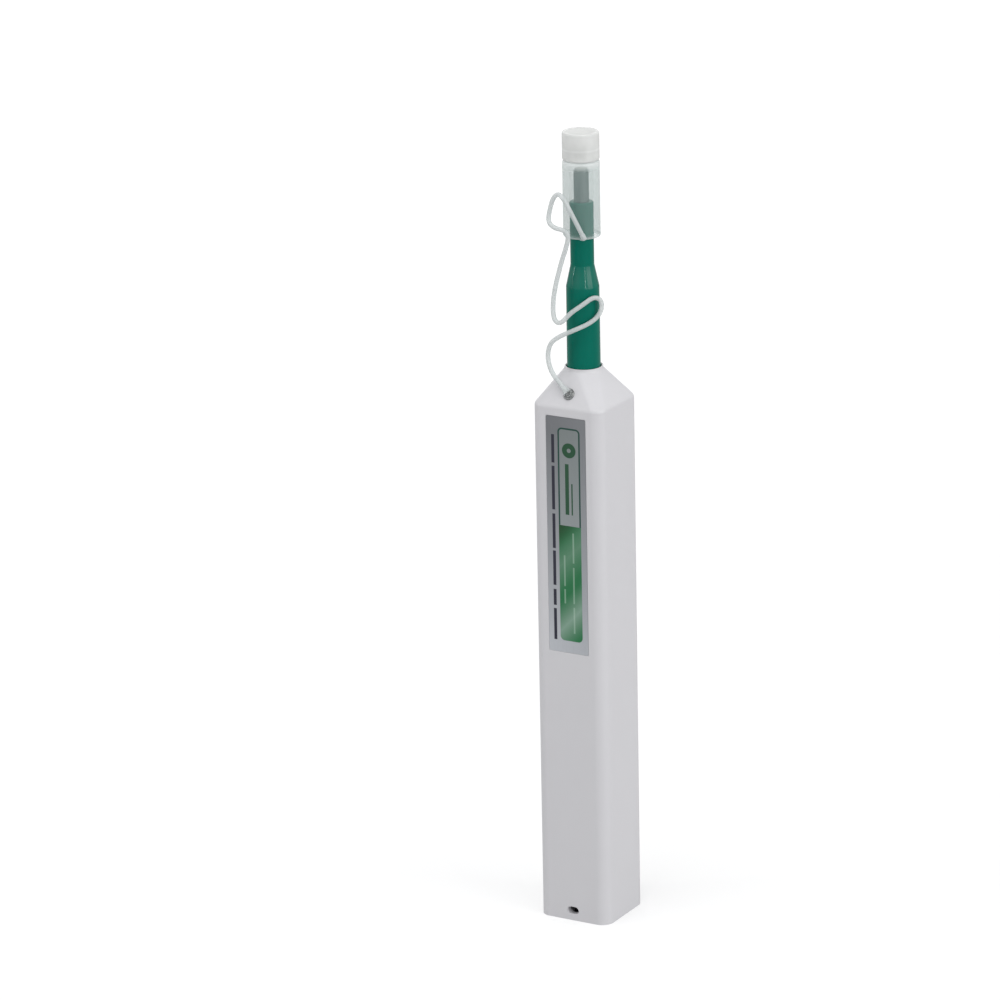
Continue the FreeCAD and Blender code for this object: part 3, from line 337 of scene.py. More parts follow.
def frosted(name, base, cover, inner_cover, white, rims):
    """Frosted plastic: a milky haze on its outer skin, a thinner one on its bore, and rims that hide more and
    are whiter, the whiteness a painted highlight.

    The covers are how much the skin and the bore hide, and the rims are two heights with their reach.
    """
    finish = Finish(name, Specular_IOR_Level=0.3)
    cloud = finish.noise(0.5, 3.0, 0.5)
    mist = finish.noise(9.0, 3.0, 0.65)
    lower, upper = (finish.z.peak(level, reach) for level, reach in rims)
    # The rims hide more where the plastic is thicker; their whiter colour is a painted highlight of light
    # caught in the edges.
    rim = lower.over(upper) * white
    haze = finish.mix(cloud, shade(base, 0.97), shade(base, 1.03))
    finish.feeds("Base Color", finish.mix(rim, haze, (0.84, 0.865, 0.86)))
    finish.feeds("Roughness", mist * 0.16 + 0.34)
    outer_skin = hypotenuse(finish.x, finish.y).steps(3.1, 3.9)
    finish.feeds("Alpha", (cloud - 0.5) * 0.05 + outer_skin * (cover - inner_cover) + rim * 0.3 + inner_cover)
    finish.relief(mist, 0.004 * MM)
    return finish.material


def turned_steel(name, base, rough, axis="z"):
    """Drawn or turned steel: fine rings round this axis and a few soft smears."""
    finish = Finish(name, Metallic=1.0)
    along = {"x": (18.0, 0.7, 0.7), "y": (0.7, 18.0, 0.7), "z": (0.7, 0.7, 18.0)}[axis]
    rings = finish.noise(1.0, 3.0, 0.65, finish.stretched(*along))
    smears = finish.noise(0.8, 3.0, 0.5)
    finish.feeds("Base Color", finish.mix(smears, shade(base, 0.95), shade(base, 1.05)))
    finish.feeds("Roughness", rings * 0.1 + (smears - 0.5) * 0.06 + rough)
    finish.relief(rings, 0.0009 * MM)
    return finish.material


def thread_white(base):
    """Twisted cleaning thread: slanted strands with a soft sheen."""
    finish = Finish("thread_white", Sheen_Weight=0.35, Specular_IOR_Level=0.2)
    strands = finish.add("ShaderNodeTexWave", {"bands_direction": "DIAGONAL"}, Vector=finish.place, Scale=3.2,
                         Distortion=1.5, Detail=2.0)
    fuzz = finish.noise(14.0, 3.0, 0.7)
    finish.feeds("Base Color", finish.mix(strands * 0.7 + fuzz * 0.3, shade(base, 0.8), base))
    finish.feeds("Roughness", fuzz * 0.2 + 0.7)
    finish.relief(strands, 0.03 * MM)
    return finish.material


def soft_clear(base):
    """Soft clear plastic of the tether, with a faint cloudy haze."""
    finish = Finish("tether_clear", Specular_IOR_Level=0.45)
    haze = finish.noise(0.9, 3.0, 0.5)
    finish.feeds("Base Color", finish.mix(haze, shade(base, 0.95), shade(base, 1.04)))
    finish.feeds("Roughness", finish.noise(4.0, 2.0) * 0.12 + 0.2)
    finish.feeds("Alpha", haze * 0.1 + 0.6)
    finish.relief(finish.noise(3.0, 2.0), 0.006 * MM)
    return finish.material


def stud_clear():
    """Clear hard plastic, polished by its mould."""
    finish = Finish("stud_clear", Transmission_Weight=1.0, IOR=1.49)
    cloud = finish.noise(0.8, 2.0, 0.5)
    finish.feeds("Base Color", finish.mix(cloud, (0.86, 0.88, 0.87), (0.93, 0.94, 0.93)))
    finish.feeds("Roughness", cloud * 0.05 + 0.03)
    finish.relief(finish.noise(1.6, 2.0), 0.01 * MM)
    return finish.material


def box_distance(finish, left, right, bottom, top, corner):
    """Millimetres from the edge of a rounded box on the label, negative inside."""
    across = abs(finish.x - (left + right) / 2) - ((right - left) / 2 - corner)
    along = abs(finish.z - (bottom + top) / 2) - ((top - bottom) / 2 - corner)
    outside = hypotenuse(across.over(0.0), along.over(0.0))
    return outside + across.over(along).under(0.0) - corner


def printed(distance):
    """Ink inside an outline: 1 within and 0 outside, with a little blur on its edge."""
    blur = 0.03
    return 1 - distance.steps(-blur, blur)


# The label's layout in millimetres on the piece: left, right, bottom and top of each field.
PANEL, PANEL_CORNER = (-2.1, 3.6, 68.15, 118.65), 1.1
FIELD_TOP = 95.6                # the green field fills the panel up to here
WORDS = (-3.74, -2.98, 67.9, 116.8)
WORD_BREAKS = (0.0, 0.155, 0.17, 0.25, 0.266, 0.435, 0.446, 0.616, 0.633, 0.847, 0.862, 1.0)
LONG_LINE, LONG_BREAKS = (1.35, 1.75, 70.0, 94.0), (0.0, 0.26, 0.30, 0.66, 0.70, 1.0)
SHORT_LINE, SHORT_BREAKS = (-0.95, -0.55, 77.0, 88.5), (0.0, 0.30, 0.36, 1.0)
EMBLEM, RING, RING_HALF = (0.75, 113.4), 1.12, 0.62
RULE_BARS = (((-0.3, 0.65, 98.2, 110.2), (0.0, 1.0)), ((1.25, 1.6, 98.2, 110.2), (0.0, 0.62)))


def label_film(film, green, ink):
    """The label: silver film with a green panel and ruled bars in place of words."""
    finish = Finish("label_print", Specular_IOR_Level=0.45, Coat_Weight=0.25, Coat_Roughness=0.12)
    brushed = finish.noise(1.0, 3.0, 0.6, finish.stretched(9.0, 1.0, 0.25))
    panel = box_distance(finish, *PANEL, PANEL_CORNER)
    frame_line = printed(abs(panel + 0.2) - 0.2)
    field = printed(panel) * (1 - finish.z.steps(FIELD_TOP - 0.05, FIELD_TOP + 0.05))
    words = bars(finish, WORDS, WORD_BREAKS)
    lines = bars(finish, LONG_LINE, LONG_BREAKS) + bars(finish, SHORT_LINE, SHORT_BREAKS)
    silver = silver_film_painted_reflection(finish, film, brushed)
    silver = finish.mix(printed(panel) * 0.5, silver, finish.mix(0.5, silver, (0.26, 0.34, 0.30)))
    base = finish.mix(field, silver, green_field_painted_highlights(finish, green))
    for share, print_colour in ((frame_line * (1 - field), (0.002, 0.05, 0.035)),
                                (lines * 0.38, (0.45, 0.62, 0.50)),
                                (emblem(finish) * 0.94, (0.003, 0.07, 0.022)), (words, ink)):
        base = finish.mix(share, base, print_colour)
    printing = (frame_line + field + words).share()
    finish.feeds("Base Color", base)
    finish.feeds("Metallic", (1 - printing) * 0.35)
    finish.feeds("Roughness", brushed * 0.16 + 0.26 + (1 - printing) * 0.06)
    finish.relief(brushed * 0.3 + printing * 0.7, 0.006 * MM)
    return finish.material


def silver_film_painted_reflection(finish, film, brushed):
    """Silver with a painted reflection: light at the bottom, darkening up the label, and a little from left
    to right.
    """
    bottom, tall, half_wide = 68.0, 50.0, 4.6
    climb = ((finish.z - bottom) / tall).share()
    across = ((finish.x + half_wide) / (half_wide * 2)).share()
    # Painted reflection: the film's colour runs from lighter at the bottom to darker at the top.
    silver = finish.mix(climb ** 0.8, shade(film, 1.35), shade(film, 0.40))
    # The brushed grain is the film's own; the darkening from left to right is painted reflection.
    return finish.mix(brushed * 0.3 + across * 0.25, silver, shade(film, 0.7))


def green_field_painted_highlights(finish, green):
    """Green with a bright and a faint slanted sweep of painted highlight, and dark towards its top."""
    sweep = finish.z - finish.x * 1.06
    # Painted highlights: two pale slanted streaks of light across the green field.
    bright, faint = sweep.peak(72.4, 6.8) ** 1.3, sweep.peak(87.8, 7.0) ** 1.2
    field = finish.mix((bright + faint * 0.45).share(), green, (0.21, 0.34, 0.26))
    return finish.mix(sweep.steps(90.5, 97.5), field, (0.0, 0.055, 0.008))


def bars(finish, place, breaks):
    """A ruled line along the label, broken into bars at these shares of its length."""
    left, right, bottom, top = place
    along = (finish.z - bottom) / (top - bottom)
    first_share = 0.0015        # keeps the ramp's first stop apart from the second
    stops = [(max(share, first_share), 1.0 - index % 2) for index, share in enumerate(breaks)]
    dashes = finish.switches(along.share(), [(0.0, 0.0), *stops])
    inside = printed(abs(finish.x - (left + right) / 2) - (right - left) / 2)
    return dashes * inside * finish.z.band(bottom - 0.02, bottom + 0.02, top - 0.02, top + 0.02)


def emblem(finish):
    """A plain mark of a ferrule's end face: a disc with its bore, over two ruled bars."""
    radius = hypotenuse(finish.x - EMBLEM[0], finish.z - EMBLEM[1])
    disc = printed(abs(radius - RING) - RING_HALF)
    wide, narrow = (bars(finish, place, breaks) for place, breaks in RULE_BARS)
    return (disc + (wide + narrow)).share()


FINISHES = {}


def make_finishes(shades):
    """Every finish by the name of its slot in the record."""
    FINISHES.update({
        "body_grey": moulded("body_grey", shades.body, 0.44, 0.010, 0.012),
        "label_print": label_film(shades.film, shades.print_green, shades.ink),
        "nozzle_green": glossy_green(shades.nozzle),
        # Both frosted finishes whiten their rims with a painted highlight.
        "frosted_cap": frosted("frosted_cap", shades.frosted, 0.37, 0.04, 0.8,
                               ((low("guide_cap").z / MM + 0.2, 0.55), (178.2, 1.7))),
        "milky_lid": frosted("milky_lid", shades.lid, 0.72, 0.5, 0.22, ((178.7, 0.5), (181.3, 0.4))),
        "tether_clear": soft_clear(shades.tether),
        "stud_clear": stud_clear(),
        "steel": turned_steel("steel", (0.32, 0.33, 0.335), 0.2),
        "axle_steel": turned_steel("axle_steel", (0.55, 0.55, 0.56), 0.22, "x"),
        "spring_steel": turned_steel("spring_steel", (0.30, 0.30, 0.31), 0.34),
        "frame_white": moulded("frame_white", (0.78, 0.78, 0.76), 0.5, 0.014, 0.03, Subsurface_Weight=0.05,
                               Subsurface_Radius=(0.001, 0.001, 0.001)),
        "gear_white": moulded("gear_white", (0.82, 0.81, 0.77), 0.4, 0.006, 0.03),
        "cam_black": moulded("cam_black", (0.014, 0.014, 0.016), 0.34, 0.006, 0.15),
        "reel_blue": moulded("reel_blue", (0.08, 0.13, 0.22), 0.4, 0.008, 0.06),
        "thread_white": thread_white((0.85, 0.85, 0.82)),
        "tip_white": moulded("tip_white", (0.80, 0.80, 0.77), 0.36, 0.004, 0.02),
    })


# ---------------------------------------------------------------- ways of modelling

def clear():
    """Object mode with nothing selected."""
    if bpy.context.object and bpy.context.object.mode != "OBJECT":
        bpy.ops.object.mode_set(mode="OBJECT")
    bpy.ops.object.select_all(action="DESELECT")


def pick(piece):
    """Only this piece selected and active."""
    clear()
    piece.select_set(True)
    bpy.context.view_layer.objects.active = piece


def named(name):
    """The primitive that was just added, under its own name."""
    piece = bpy.context.object
    piece.name = piece.data.name = name
    return piece


def edit_all():
    """Edit mode with everything selected."""
    bpy.ops.object.mode_set(mode="EDIT")
    bpy.ops.mesh.select_all(action="SELECT")


def select_where(piece, kind, test, only=None):
    """In edit mode, selects the vertices or edges whose every end passes the test.

    With only, no vertex or edge is selected whose number isn't in it.
    """
    bpy.ops.mesh.select_mode(type=kind)
    bpy.ops.mesh.select_all(action="DESELECT")
    bpy.ops.object.mode_set(mode="OBJECT")
    mesh = piece.data
    for item in {"VERT": mesh.vertices, "EDGE": mesh.edges}[kind]:
        ends = (item.index,) if kind == "VERT" else item.vertices
        item.select = (only is None or item.index in only) and all(test(mesh.vertices[v].co) for v in ends)
    bpy.ops.object.mode_set(mode="EDIT")


def open_edges(piece, level):
    """The numbers of the edges at this level that have one face only, and of their vertices."""
    bpy.ops.object.mode_set(mode="OBJECT")
    mesh, faces_on = piece.data, {}
    for face in mesh.polygons:
        for key in face.edge_keys:
            faces_on[key] = faces_on.get(key, 0) + 1
    found = [edge for edge in mesh.edges if faces_on.get(edge.key, 0) == 1
             and all(abs(mesh.vertices[v].co.z - level) < TINY for v in edge.vertices)]
    numbers = {edge.index for edge in found}, {v for edge in found for v in edge.vertices}
    bpy.ops.object.mode_set(mode="EDIT")
    return numbers


def apply_all(piece):
    """Applies every modifier in order."""
    pick(piece)
    for modifier in list(piece.modifiers):
        bpy.ops.object.modifier_apply(modifier=modifier.name)


def settle(piece):
    """The piece's place, turn and scale go into its mesh."""
    pick(piece)
    bpy.ops.object.transform_apply(location=True, rotation=True, scale=True)


def smooth(piece, degrees):
    """Smooth faces that keep edges sharper than this."""
    pick(piece)
    bpy.ops.object.shade_smooth_by_angle(angle=math.radians(degrees))
    even = piece.modifiers.new("even", "WEIGHTED_NORMAL")
    even.keep_sharp = True
    apply_all(piece)


def finished(piece, slot, body, node, finish=None, degrees=32):
    """Gives the piece the finish of its slot, or the finish named, puts it on its body and hides the CAD node
    that it stands for.

    A piece with no body is left on none.
    """
    settle(piece)
    smooth(piece, degrees)
    piece.data.materials.clear()
    piece.data.materials.append(FINISHES[finish or slot])
    if body:
        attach(piece, body)
    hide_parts(node)


def tidy_normals(piece):
    """Merges doubles and turns every face outwards."""
    pick(piece)
    edit_all()
    bpy.ops.mesh.remove_doubles(threshold=MERGE)
    bpy.ops.mesh.normals_make_consistent(inside=False)
    bpy.ops.object.mode_set(mode="OBJECT")


def rounded(outline, steps=6):
    """An outline of (radius, height, rounding) with each rounded corner turned into an arc."""
    points, count = [], len(outline)
    for index, (across, along, ease) in enumerate(outline):
        here = Vector((across, along))
        before, after = (Vector(outline[(index + shift) % count][:2]) - here for shift in (-1, 1))
        if not ease:
            points.append(tuple(here))
            continue
        angle = before.angle(after)
        back = min(ease / math.tan(angle / 2), before.length * 0.49, after.length * 0.49)
        radius = back * math.tan(angle / 2)
        middle = here + (before.normalized() + after.normalized()).normalized() * radius / math.sin(angle / 2)
        start, end = here + before.normalized() * back - middle, here + after.normalized() * back - middle
        swing = start.angle_signed(end)
        for step in range(steps + 1):
            turn = Matrix.Rotation(-swing * step / steps, 2)
            points.append(tuple(middle + turn @ start))
    return points


def turned(name, outline, sides=96):
    """A solid of revolution: a ring that is extruded and scaled along the closed outline."""
    clear()
    outline = [(max(across, TINY), along) for across, along in outline]
    first = before = outline[0]
    bpy.ops.mesh.primitive_circle_add(vertices=sides, radius=first[0], location=(0, 0, first[1]))
    piece = named(name)
    settle(piece)
    edit_all()
    solid = first[0] < 2 * TINY
    for point in outline[1:] + [first] * (not solid):
        bpy.ops.mesh.extrude_edges_move(TRANSFORM_OT_translate={"value": (0, 0, point[1] - before[1])})
        share = point[0] / before[0]
        bpy.ops.transform.resize(value=(share, share, 1), center_override=(0, 0, point[1]))
        before = point
    bpy.ops.mesh.select_all(action="SELECT")
    bpy.ops.mesh.remove_doubles(threshold=4 * TINY if solid else MERGE)
    bpy.ops.mesh.normals_make_consistent(inside=False)
    bpy.ops.object.mode_set(mode="OBJECT")
    return piece


def block(name, size, place, ease=0.0):
    """A box whose edges are bevelled in edit mode."""
    clear()
    bpy.ops.mesh.primitive_cube_add(size=1, location=place)
    piece = named(name)
    piece.scale = size
    bpy.ops.object.transform_apply(location=False, rotation=False, scale=True)
    if ease:
        edit_all()
        bpy.ops.mesh.bevel(offset=ease, segments=3, affect="EDGES")
        bpy.ops.object.mode_set(mode="OBJECT")
    return piece


def bevel_bar(piece, least, offset, segments):
    """Rounds the edges of a bar that run further than this along Y."""
    settle(piece)
    ends = ([piece.data.vertices[v].co.y for v in edge.vertices] for edge in piece.data.edges)
    runs = {number for number, (near, far) in enumerate(ends) if abs(near - far) > least}
    bpy.ops.object.mode_set(mode="EDIT")
    select_where(piece, "EDGE", lambda place: True, runs)
    bpy.ops.mesh.bevel(offset=offset, segments=segments, affect="EDGES")
    bpy.ops.object.mode_set(mode="OBJECT")


def carve(piece, cutter, operation="DIFFERENCE"):
    """Cuts the cutter out of the piece, or joins it on, and removes the cutter."""
    settle(cutter)
    pick(piece)
    boolean = piece.modifiers.new("carve", "BOOLEAN")
    boolean.operation, boolean.object, boolean.solver = operation, cutter, "EXACT"
    bpy.ops.object.modifier_apply(modifier=boolean.name)
    bpy.data.objects.remove(cutter)


def soften(piece, width, degrees, segments=3):
    """Rounds every edge sharper than this."""
    bevel = piece.modifiers.new("soften", "BEVEL")
    bevel.width, bevel.segments, bevel.limit_method = width, segments, "ANGLE"
    bevel.angle_limit, bevel.use_clamp_overlap = math.radians(degrees), True
    bevel.miter_outer = "MITER_ARC"
    apply_all(piece)


def rounded_square(name, half, corner, level, segments=14):
    """A flat square face with round corners, left in edit mode."""
    clear()
    bpy.ops.mesh.primitive_plane_add(size=half * 2, location=(0, 0, level))
    piece = named(name)
    settle(piece)
    edit_all()
    bpy.ops.mesh.bevel(offset=corner, segments=segments, affect="VERTICES")
    return piece


def raise_ring(rise):
    """Extrudes the selected ring upwards."""
    bpy.ops.mesh.extrude_edges_move(TRANSFORM_OT_translate={"value": (0, 0, rise)})


def reshape_corners(piece, level, old, new, only=None):
    """Moves each corner's arc of a rounded square at this level from one (half, corner) to another."""
    was, now, share = old[0] - old[1], new[0] - new[1], new[1] / old[1]
    for sign_x in (-1, 1):
        for sign_y in (-1, 1):
            def in_corner(place):
                return abs(place.z - level) < TINY and min(place.x * sign_x, place.y * sign_y) > was - TINY
            select_where(piece, "VERT", in_corner, only)
            bpy.ops.transform.translate(value=(sign_x * (now - was), sign_y * (now - was), 0))
            bpy.ops.transform.resize(value=(share, share, 1),
                                     center_override=(sign_x * now, sign_y * now, level))


def select_ring(piece, level):
    """Selects the ring of edges at this level."""
    select_where(piece, "EDGE", lambda place: abs(place.z - level) < TINY)


# ---------------------------------------------------------------- stage

# Where the camera stands and how it is turned: millimetres and degrees.
EYE = {"away": 1200.0, "azimuth": 29.05, "height": 479.5, "pan": 0.93, "pitch": 17.57, "roll": -1.14}
LENS = 199.87
SKY = 0.62                      # strength of the plain light on the pen from all round
FLOOR_GLOW, FAR_GLOW = 0.475, 0.13      # the floor's own light to the camera, and what it gains far off
AIM = Vector((0, 0, 0.1))       # the lamps face this point on the pen
# Each lamp: name, width and height in metres, watts, place.
LAMPS = (
    ("key_panel", (1.1, 1.1), 9.8, (1.47, -0.16, 0.57)),
    ("top_panel", (0.9, 0.9), 5.6, (-0.1, -0.5, 1.43)),
    ("front_fill", (0.9, 0.9), 0.5, (-0.25, -1.4, 0.35)),
    ("back_fill", (1.0, 1.0), 4.2, (-0.75, 1.25, 0.50)),
    ("left_strip", (0.06, 0.45), 1.7, (-1.00, -0.78, 0.36)),
    ("front_strip", (0.06, 0.35), 0.9, (1.08, -0.92, 0.36)),
)


class PEN_OT_stage(bpy.types.Operator):
    """Camera, floor, lamps and sky"""
    bl_idname = "pen.stage"
    bl_label = "Stage"

    def execute(self, context):
        azimuth, pan, pitch, roll = (math.radians(EYE[word]) for word in ("azimuth", "pan", "pitch", "roll"))
        away, heading = EYE["away"], azimuth + pan
        spot = Vector((away * math.sin(azimuth), -away * math.cos(azimuth), EYE["height"])) * MM
        ahead = Vector((-math.sin(heading) * math.cos(pitch), math.cos(heading) * math.cos(pitch),
                        -math.sin(pitch)))
        level_right = Vector((math.cos(heading), math.sin(heading), 0))
        level_up = level_right.cross(ahead)
        right = math.cos(roll) * level_right + math.sin(roll) * level_up
        above = math.cos(roll) * level_up - math.sin(roll) * level_right
        camera = bpy.data.objects.new("camera", bpy.data.cameras.new("camera"))
        context.scene.collection.objects.link(camera)
        turn = Matrix((right, above, -ahead)).transposed().to_4x4()
        camera.matrix_world = Matrix.Translation(spot) @ turn
        camera.data.lens, camera.data.sensor_width = LENS, 36.0
        camera.data.clip_start, camera.data.clip_end = 0.05, 50.0
        context.scene.camera = camera
        context.scene.view_settings.view_transform = "Standard"
        self.sky(context.scene)
        self.floor()
        for name, size, energy, place in LAMPS:
            self.lamp(context.scene, name, size, energy, place)
        return {"FINISHED"}

    def sky(self, scene):
        """White to the camera and in reflections, plain soft light on the pen."""
        world = scene.world or bpy.data.worlds.new("sky")
        scene.world = world
        world.use_nodes = True
        nodes, links = world.node_tree.nodes, world.node_tree.links
        nodes.clear()
        path = nodes.new("ShaderNodeLightPath")
        seen = path.outputs["Is Camera Ray"]
        for ray in ("Is Glossy Ray", "Is Transmission Ray"):
            either = nodes.new("ShaderNodeMath")
            either.operation = "MAXIMUM"
            links.new(seen, either.inputs[0])
            links.new(path.outputs[ray], either.inputs[1])
            seen = either.outputs[0]
        soft, white = nodes.new("ShaderNodeBackground"), nodes.new("ShaderNodeBackground")
        soft.inputs[0].default_value, soft.inputs[1].default_value = (0.98, 0.99, 1.0, 1), SKY
        white.inputs[1].default_value = 1.0
        mixed, out = nodes.new("ShaderNodeMixShader"), nodes.new("ShaderNodeOutputWorld")
        for socket, source in zip(mixed.inputs, (seen, soft.outputs[0], white.outputs[0])):
            links.new(source, socket)
        links.new(mixed.outputs[0], out.inputs[0])

    def floor(self):
        """A large pale floor that keeps the pen's shadow."""
        clear()
        bpy.ops.mesh.primitive_circle_add(vertices=128, radius=3.0, fill_type="NGON", location=(0, 0, 0))
        floor = named("floor")
        finish = Finish("floor_pale", Specular_IOR_Level=0.0, Roughness=1.0, Emission_Strength=1.0)
        finish.feeds("Base Color", finish.mix(finish.noise(0.01), (0.54, 0.54, 0.54), (0.56, 0.56, 0.56)))
        to_camera = Wire(finish, finish.nodes.new("ShaderNodeLightPath").outputs["Is Camera Ray"])
        far_off = hypotenuse(finish.x, finish.y).steps(100.0, 1000.0)
        glow = to_camera * (far_off * FAR_GLOW + FLOOR_GLOW)
        finish.feeds("Emission Color", finish.mix(glow, (0.0, 0.0, 0.0), (1.0, 1.0, 1.0)))
        floor.data.materials.append(finish.material)

    def lamp(self, scene, name, size, energy, place):
        """A soft panel that faces the pen, of this width and height in metres."""
        lamp = bpy.data.objects.new(name, bpy.data.lights.new(name, "AREA"))
        scene.collection.objects.link(lamp)
        lamp.data.shape, lamp.data.size, lamp.data.size_y = "RECTANGLE", *size
        lamp.data.energy = energy
        lamp.location = place
        lamp.rotation_euler = (AIM - Vector(place)).to_track_quat("-Z", "Y").to_euler()


# ---------------------------------------------------------------- tether

# The tether's route as the CAD model has it, in millimetres.
ROUTE = (
    (0.0, -7.74, 126.5), (-1.7, -7.3, 128.0), (-4.4, -7.2, 130.6), (-5.6, -6.8, 134.0), (-4.9, -6.8, 137.2),
    (-2.7, -6.7, 139.0), (0.4, -5.7, 140.5), (3.1, -3.4, 141.8), (4.6, -1.4, 143.2), (5.2, -0.4, 145.4),
    (4.9, -0.9, 147.3), (4.0, -2.5, 148.0), (2.3, -4.4, 146.4), (-0.1, -6.1, 144.5), (-1.9, -6.7, 142.2),
    (-3.5, -6.7, 142.4), (-4.3, -6.3, 144.6), (-4.1, -5.9, 149.1), (-2.4, -5.4, 156.0), (-0.8, -5.8, 159.8),
    (0.0, -6.1, 162.6), (-1.0, -6.5, 163.8), (-3.5, -6.7, 164.1), (-5.1, -6.4, 165.4), (-4.6, -6.2, 168.3),
    (-3.7, -6.3, 170.9), (-2.3, -6.4, 172.1), (-0.9, -6.4, 170.9), (0.5, -6.0, 168.0), (1.7, -5.2, 165.0),
    (2.5, -4.5, 162.7))
PARTING = 149.5 * MM            # the height where the lower half of the tether meets the upper
BLEND_GAP = 0.7 * MM            # each half's blend range, which nothing uses, stops this far from the parting
FLARE_LENGTH = 2.6 * MM


def route_points():
    """Points along the smooth line that the route's control points give."""
    curve = bpy.data.curves.new("route", "CURVE")
    curve.dimensions, curve.resolution_u = "3D", 16
    spline = curve.splines.new("NURBS")
    spline.points.add(len(ROUTE) - 1)
    for point, place in zip(spline.points, ROUTE):
        point.co = (*(value * MM for value in place), 1)
    spline.order_u, spline.use_endpoint_u = 3, True
    holder = bpy.data.objects.new("route", curve)
    bpy.context.scene.collection.objects.link(holder)
    bpy.context.view_layer.update()
    evaluated = holder.evaluated_get(bpy.context.evaluated_depsgraph_get())
    mesh = bpy.data.meshes.new_from_object(evaluated)
    points = [vertex.co.copy() for vertex in mesh.vertices]
    bpy.data.objects.remove(holder)
    bpy.data.meshes.remove(mesh)
    return points


def strand(name, points, width, flare):
    """A round strand along the points, which starts at the flare's width if it has one."""
    curve = bpy.data.curves.new(name, "CURVE")
    curve.dimensions, curve.use_fill_caps = "3D", True
    curve.bevel_depth, curve.bevel_resolution = width / 2, 6
    spline = curve.splines.new("POLY")
    spline.points.add(len(points) - 1)
    gone = 0.0
    for index, place in enumerate(points):
        spline.points[index].co = (*place, 1)
        gone += (place - points[index - 1]).length if index else 0.0
        ease = max(0.0, 1 - gone / FLARE_LENGTH)
        spline.points[index].radius = 1 + (flare / width - 1) * ease ** 2 if flare else 1
    piece = bpy.data.objects.new(name, curve)
    bpy.context.scene.collection.objects.link(piece)
    pick(piece)
    bpy.ops.object.convert(target="MESH")
    piece = bpy.context.object
    finished(piece, "tether_clear", None, "tether", degrees=60)
    return piece


class PEN_OT_tether(bpy.types.Operator):
    """The tether in two halves, one below the parting and one above it"""
    bl_idname = "pen.tether"
    bl_label = "Tether"

    def execute(self, context):
        sizes = context.scene.pen_tether
        points = route_points()
        part = next(index for index, point in enumerate(points) if point.z > PARTING)
        for name, line, flare, bodies, start, end in (
                ("tether_lower", points[:part + 1], sizes.foot, ("housing", "carriage"),
                 points[0].z, PARTING - BLEND_GAP),
                ("tether_upper", points[part:], 0.0, ("carriage", "cap"),
                 PARTING + BLEND_GAP, low("guide_cap").z)):
            piece = strand(name, line, sizes.width, flare)
            long = sum((b - a).length for a, b in zip(line, line[1:]))
            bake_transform(piece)
        return {"FINISHED"}


def knob_seat():
    """The middle of the knob, the slope of the shoulder under it and the way that slope faces."""
    sizes, corner = bpy.context.scene.pen_housing, high("housing_shell")
    slope = math.atan2(corner.z - sizes.collar_rise - sizes.shoulder, corner.x - sizes.collar / 2)
    middle = (low("tether_knob") + high("tether_knob")) / 2
    return middle, slope, Vector((0, -math.sin(slope), math.cos(slope)))


class PEN_OT_knob(bpy.types.Operator):
    """The clear knob that holds the tether in the shoulder"""
    bl_idname = "pen.knob"
    bl_label = "Tether knob"

    def execute(self, context):
        deep, wide, rise = 0.95 * MM, 1.3 * MM, 1.4 * MM
        knob = turned("tether_button", rounded((
            (0.0, -deep, 0), (wide * 0.92, -deep, 0.12 * MM), (wide, -deep * 0.4, 0.2 * MM),
            (wide, 0.35 * MM, 0.3 * MM), (wide * 0.8, 0.62 * MM, 0.2 * MM), (wide * 0.72, rise, 0.45 * MM),
            (wide * 0.2, rise, 0.1 * MM), (0.0, rise * 0.93, 0))), 48)
        middle, slope, outwards = knob_seat()
        knob.rotation_euler = (slope, 0, 0)
        knob.location = middle + outwards * ((deep - rise) / 2)
        finished(knob, "tether_clear", "housing", "tether_knob", finish="stud_clear", degrees=40)
        return {"FINISHED"}


# ---------------------------------------------------------------- housing

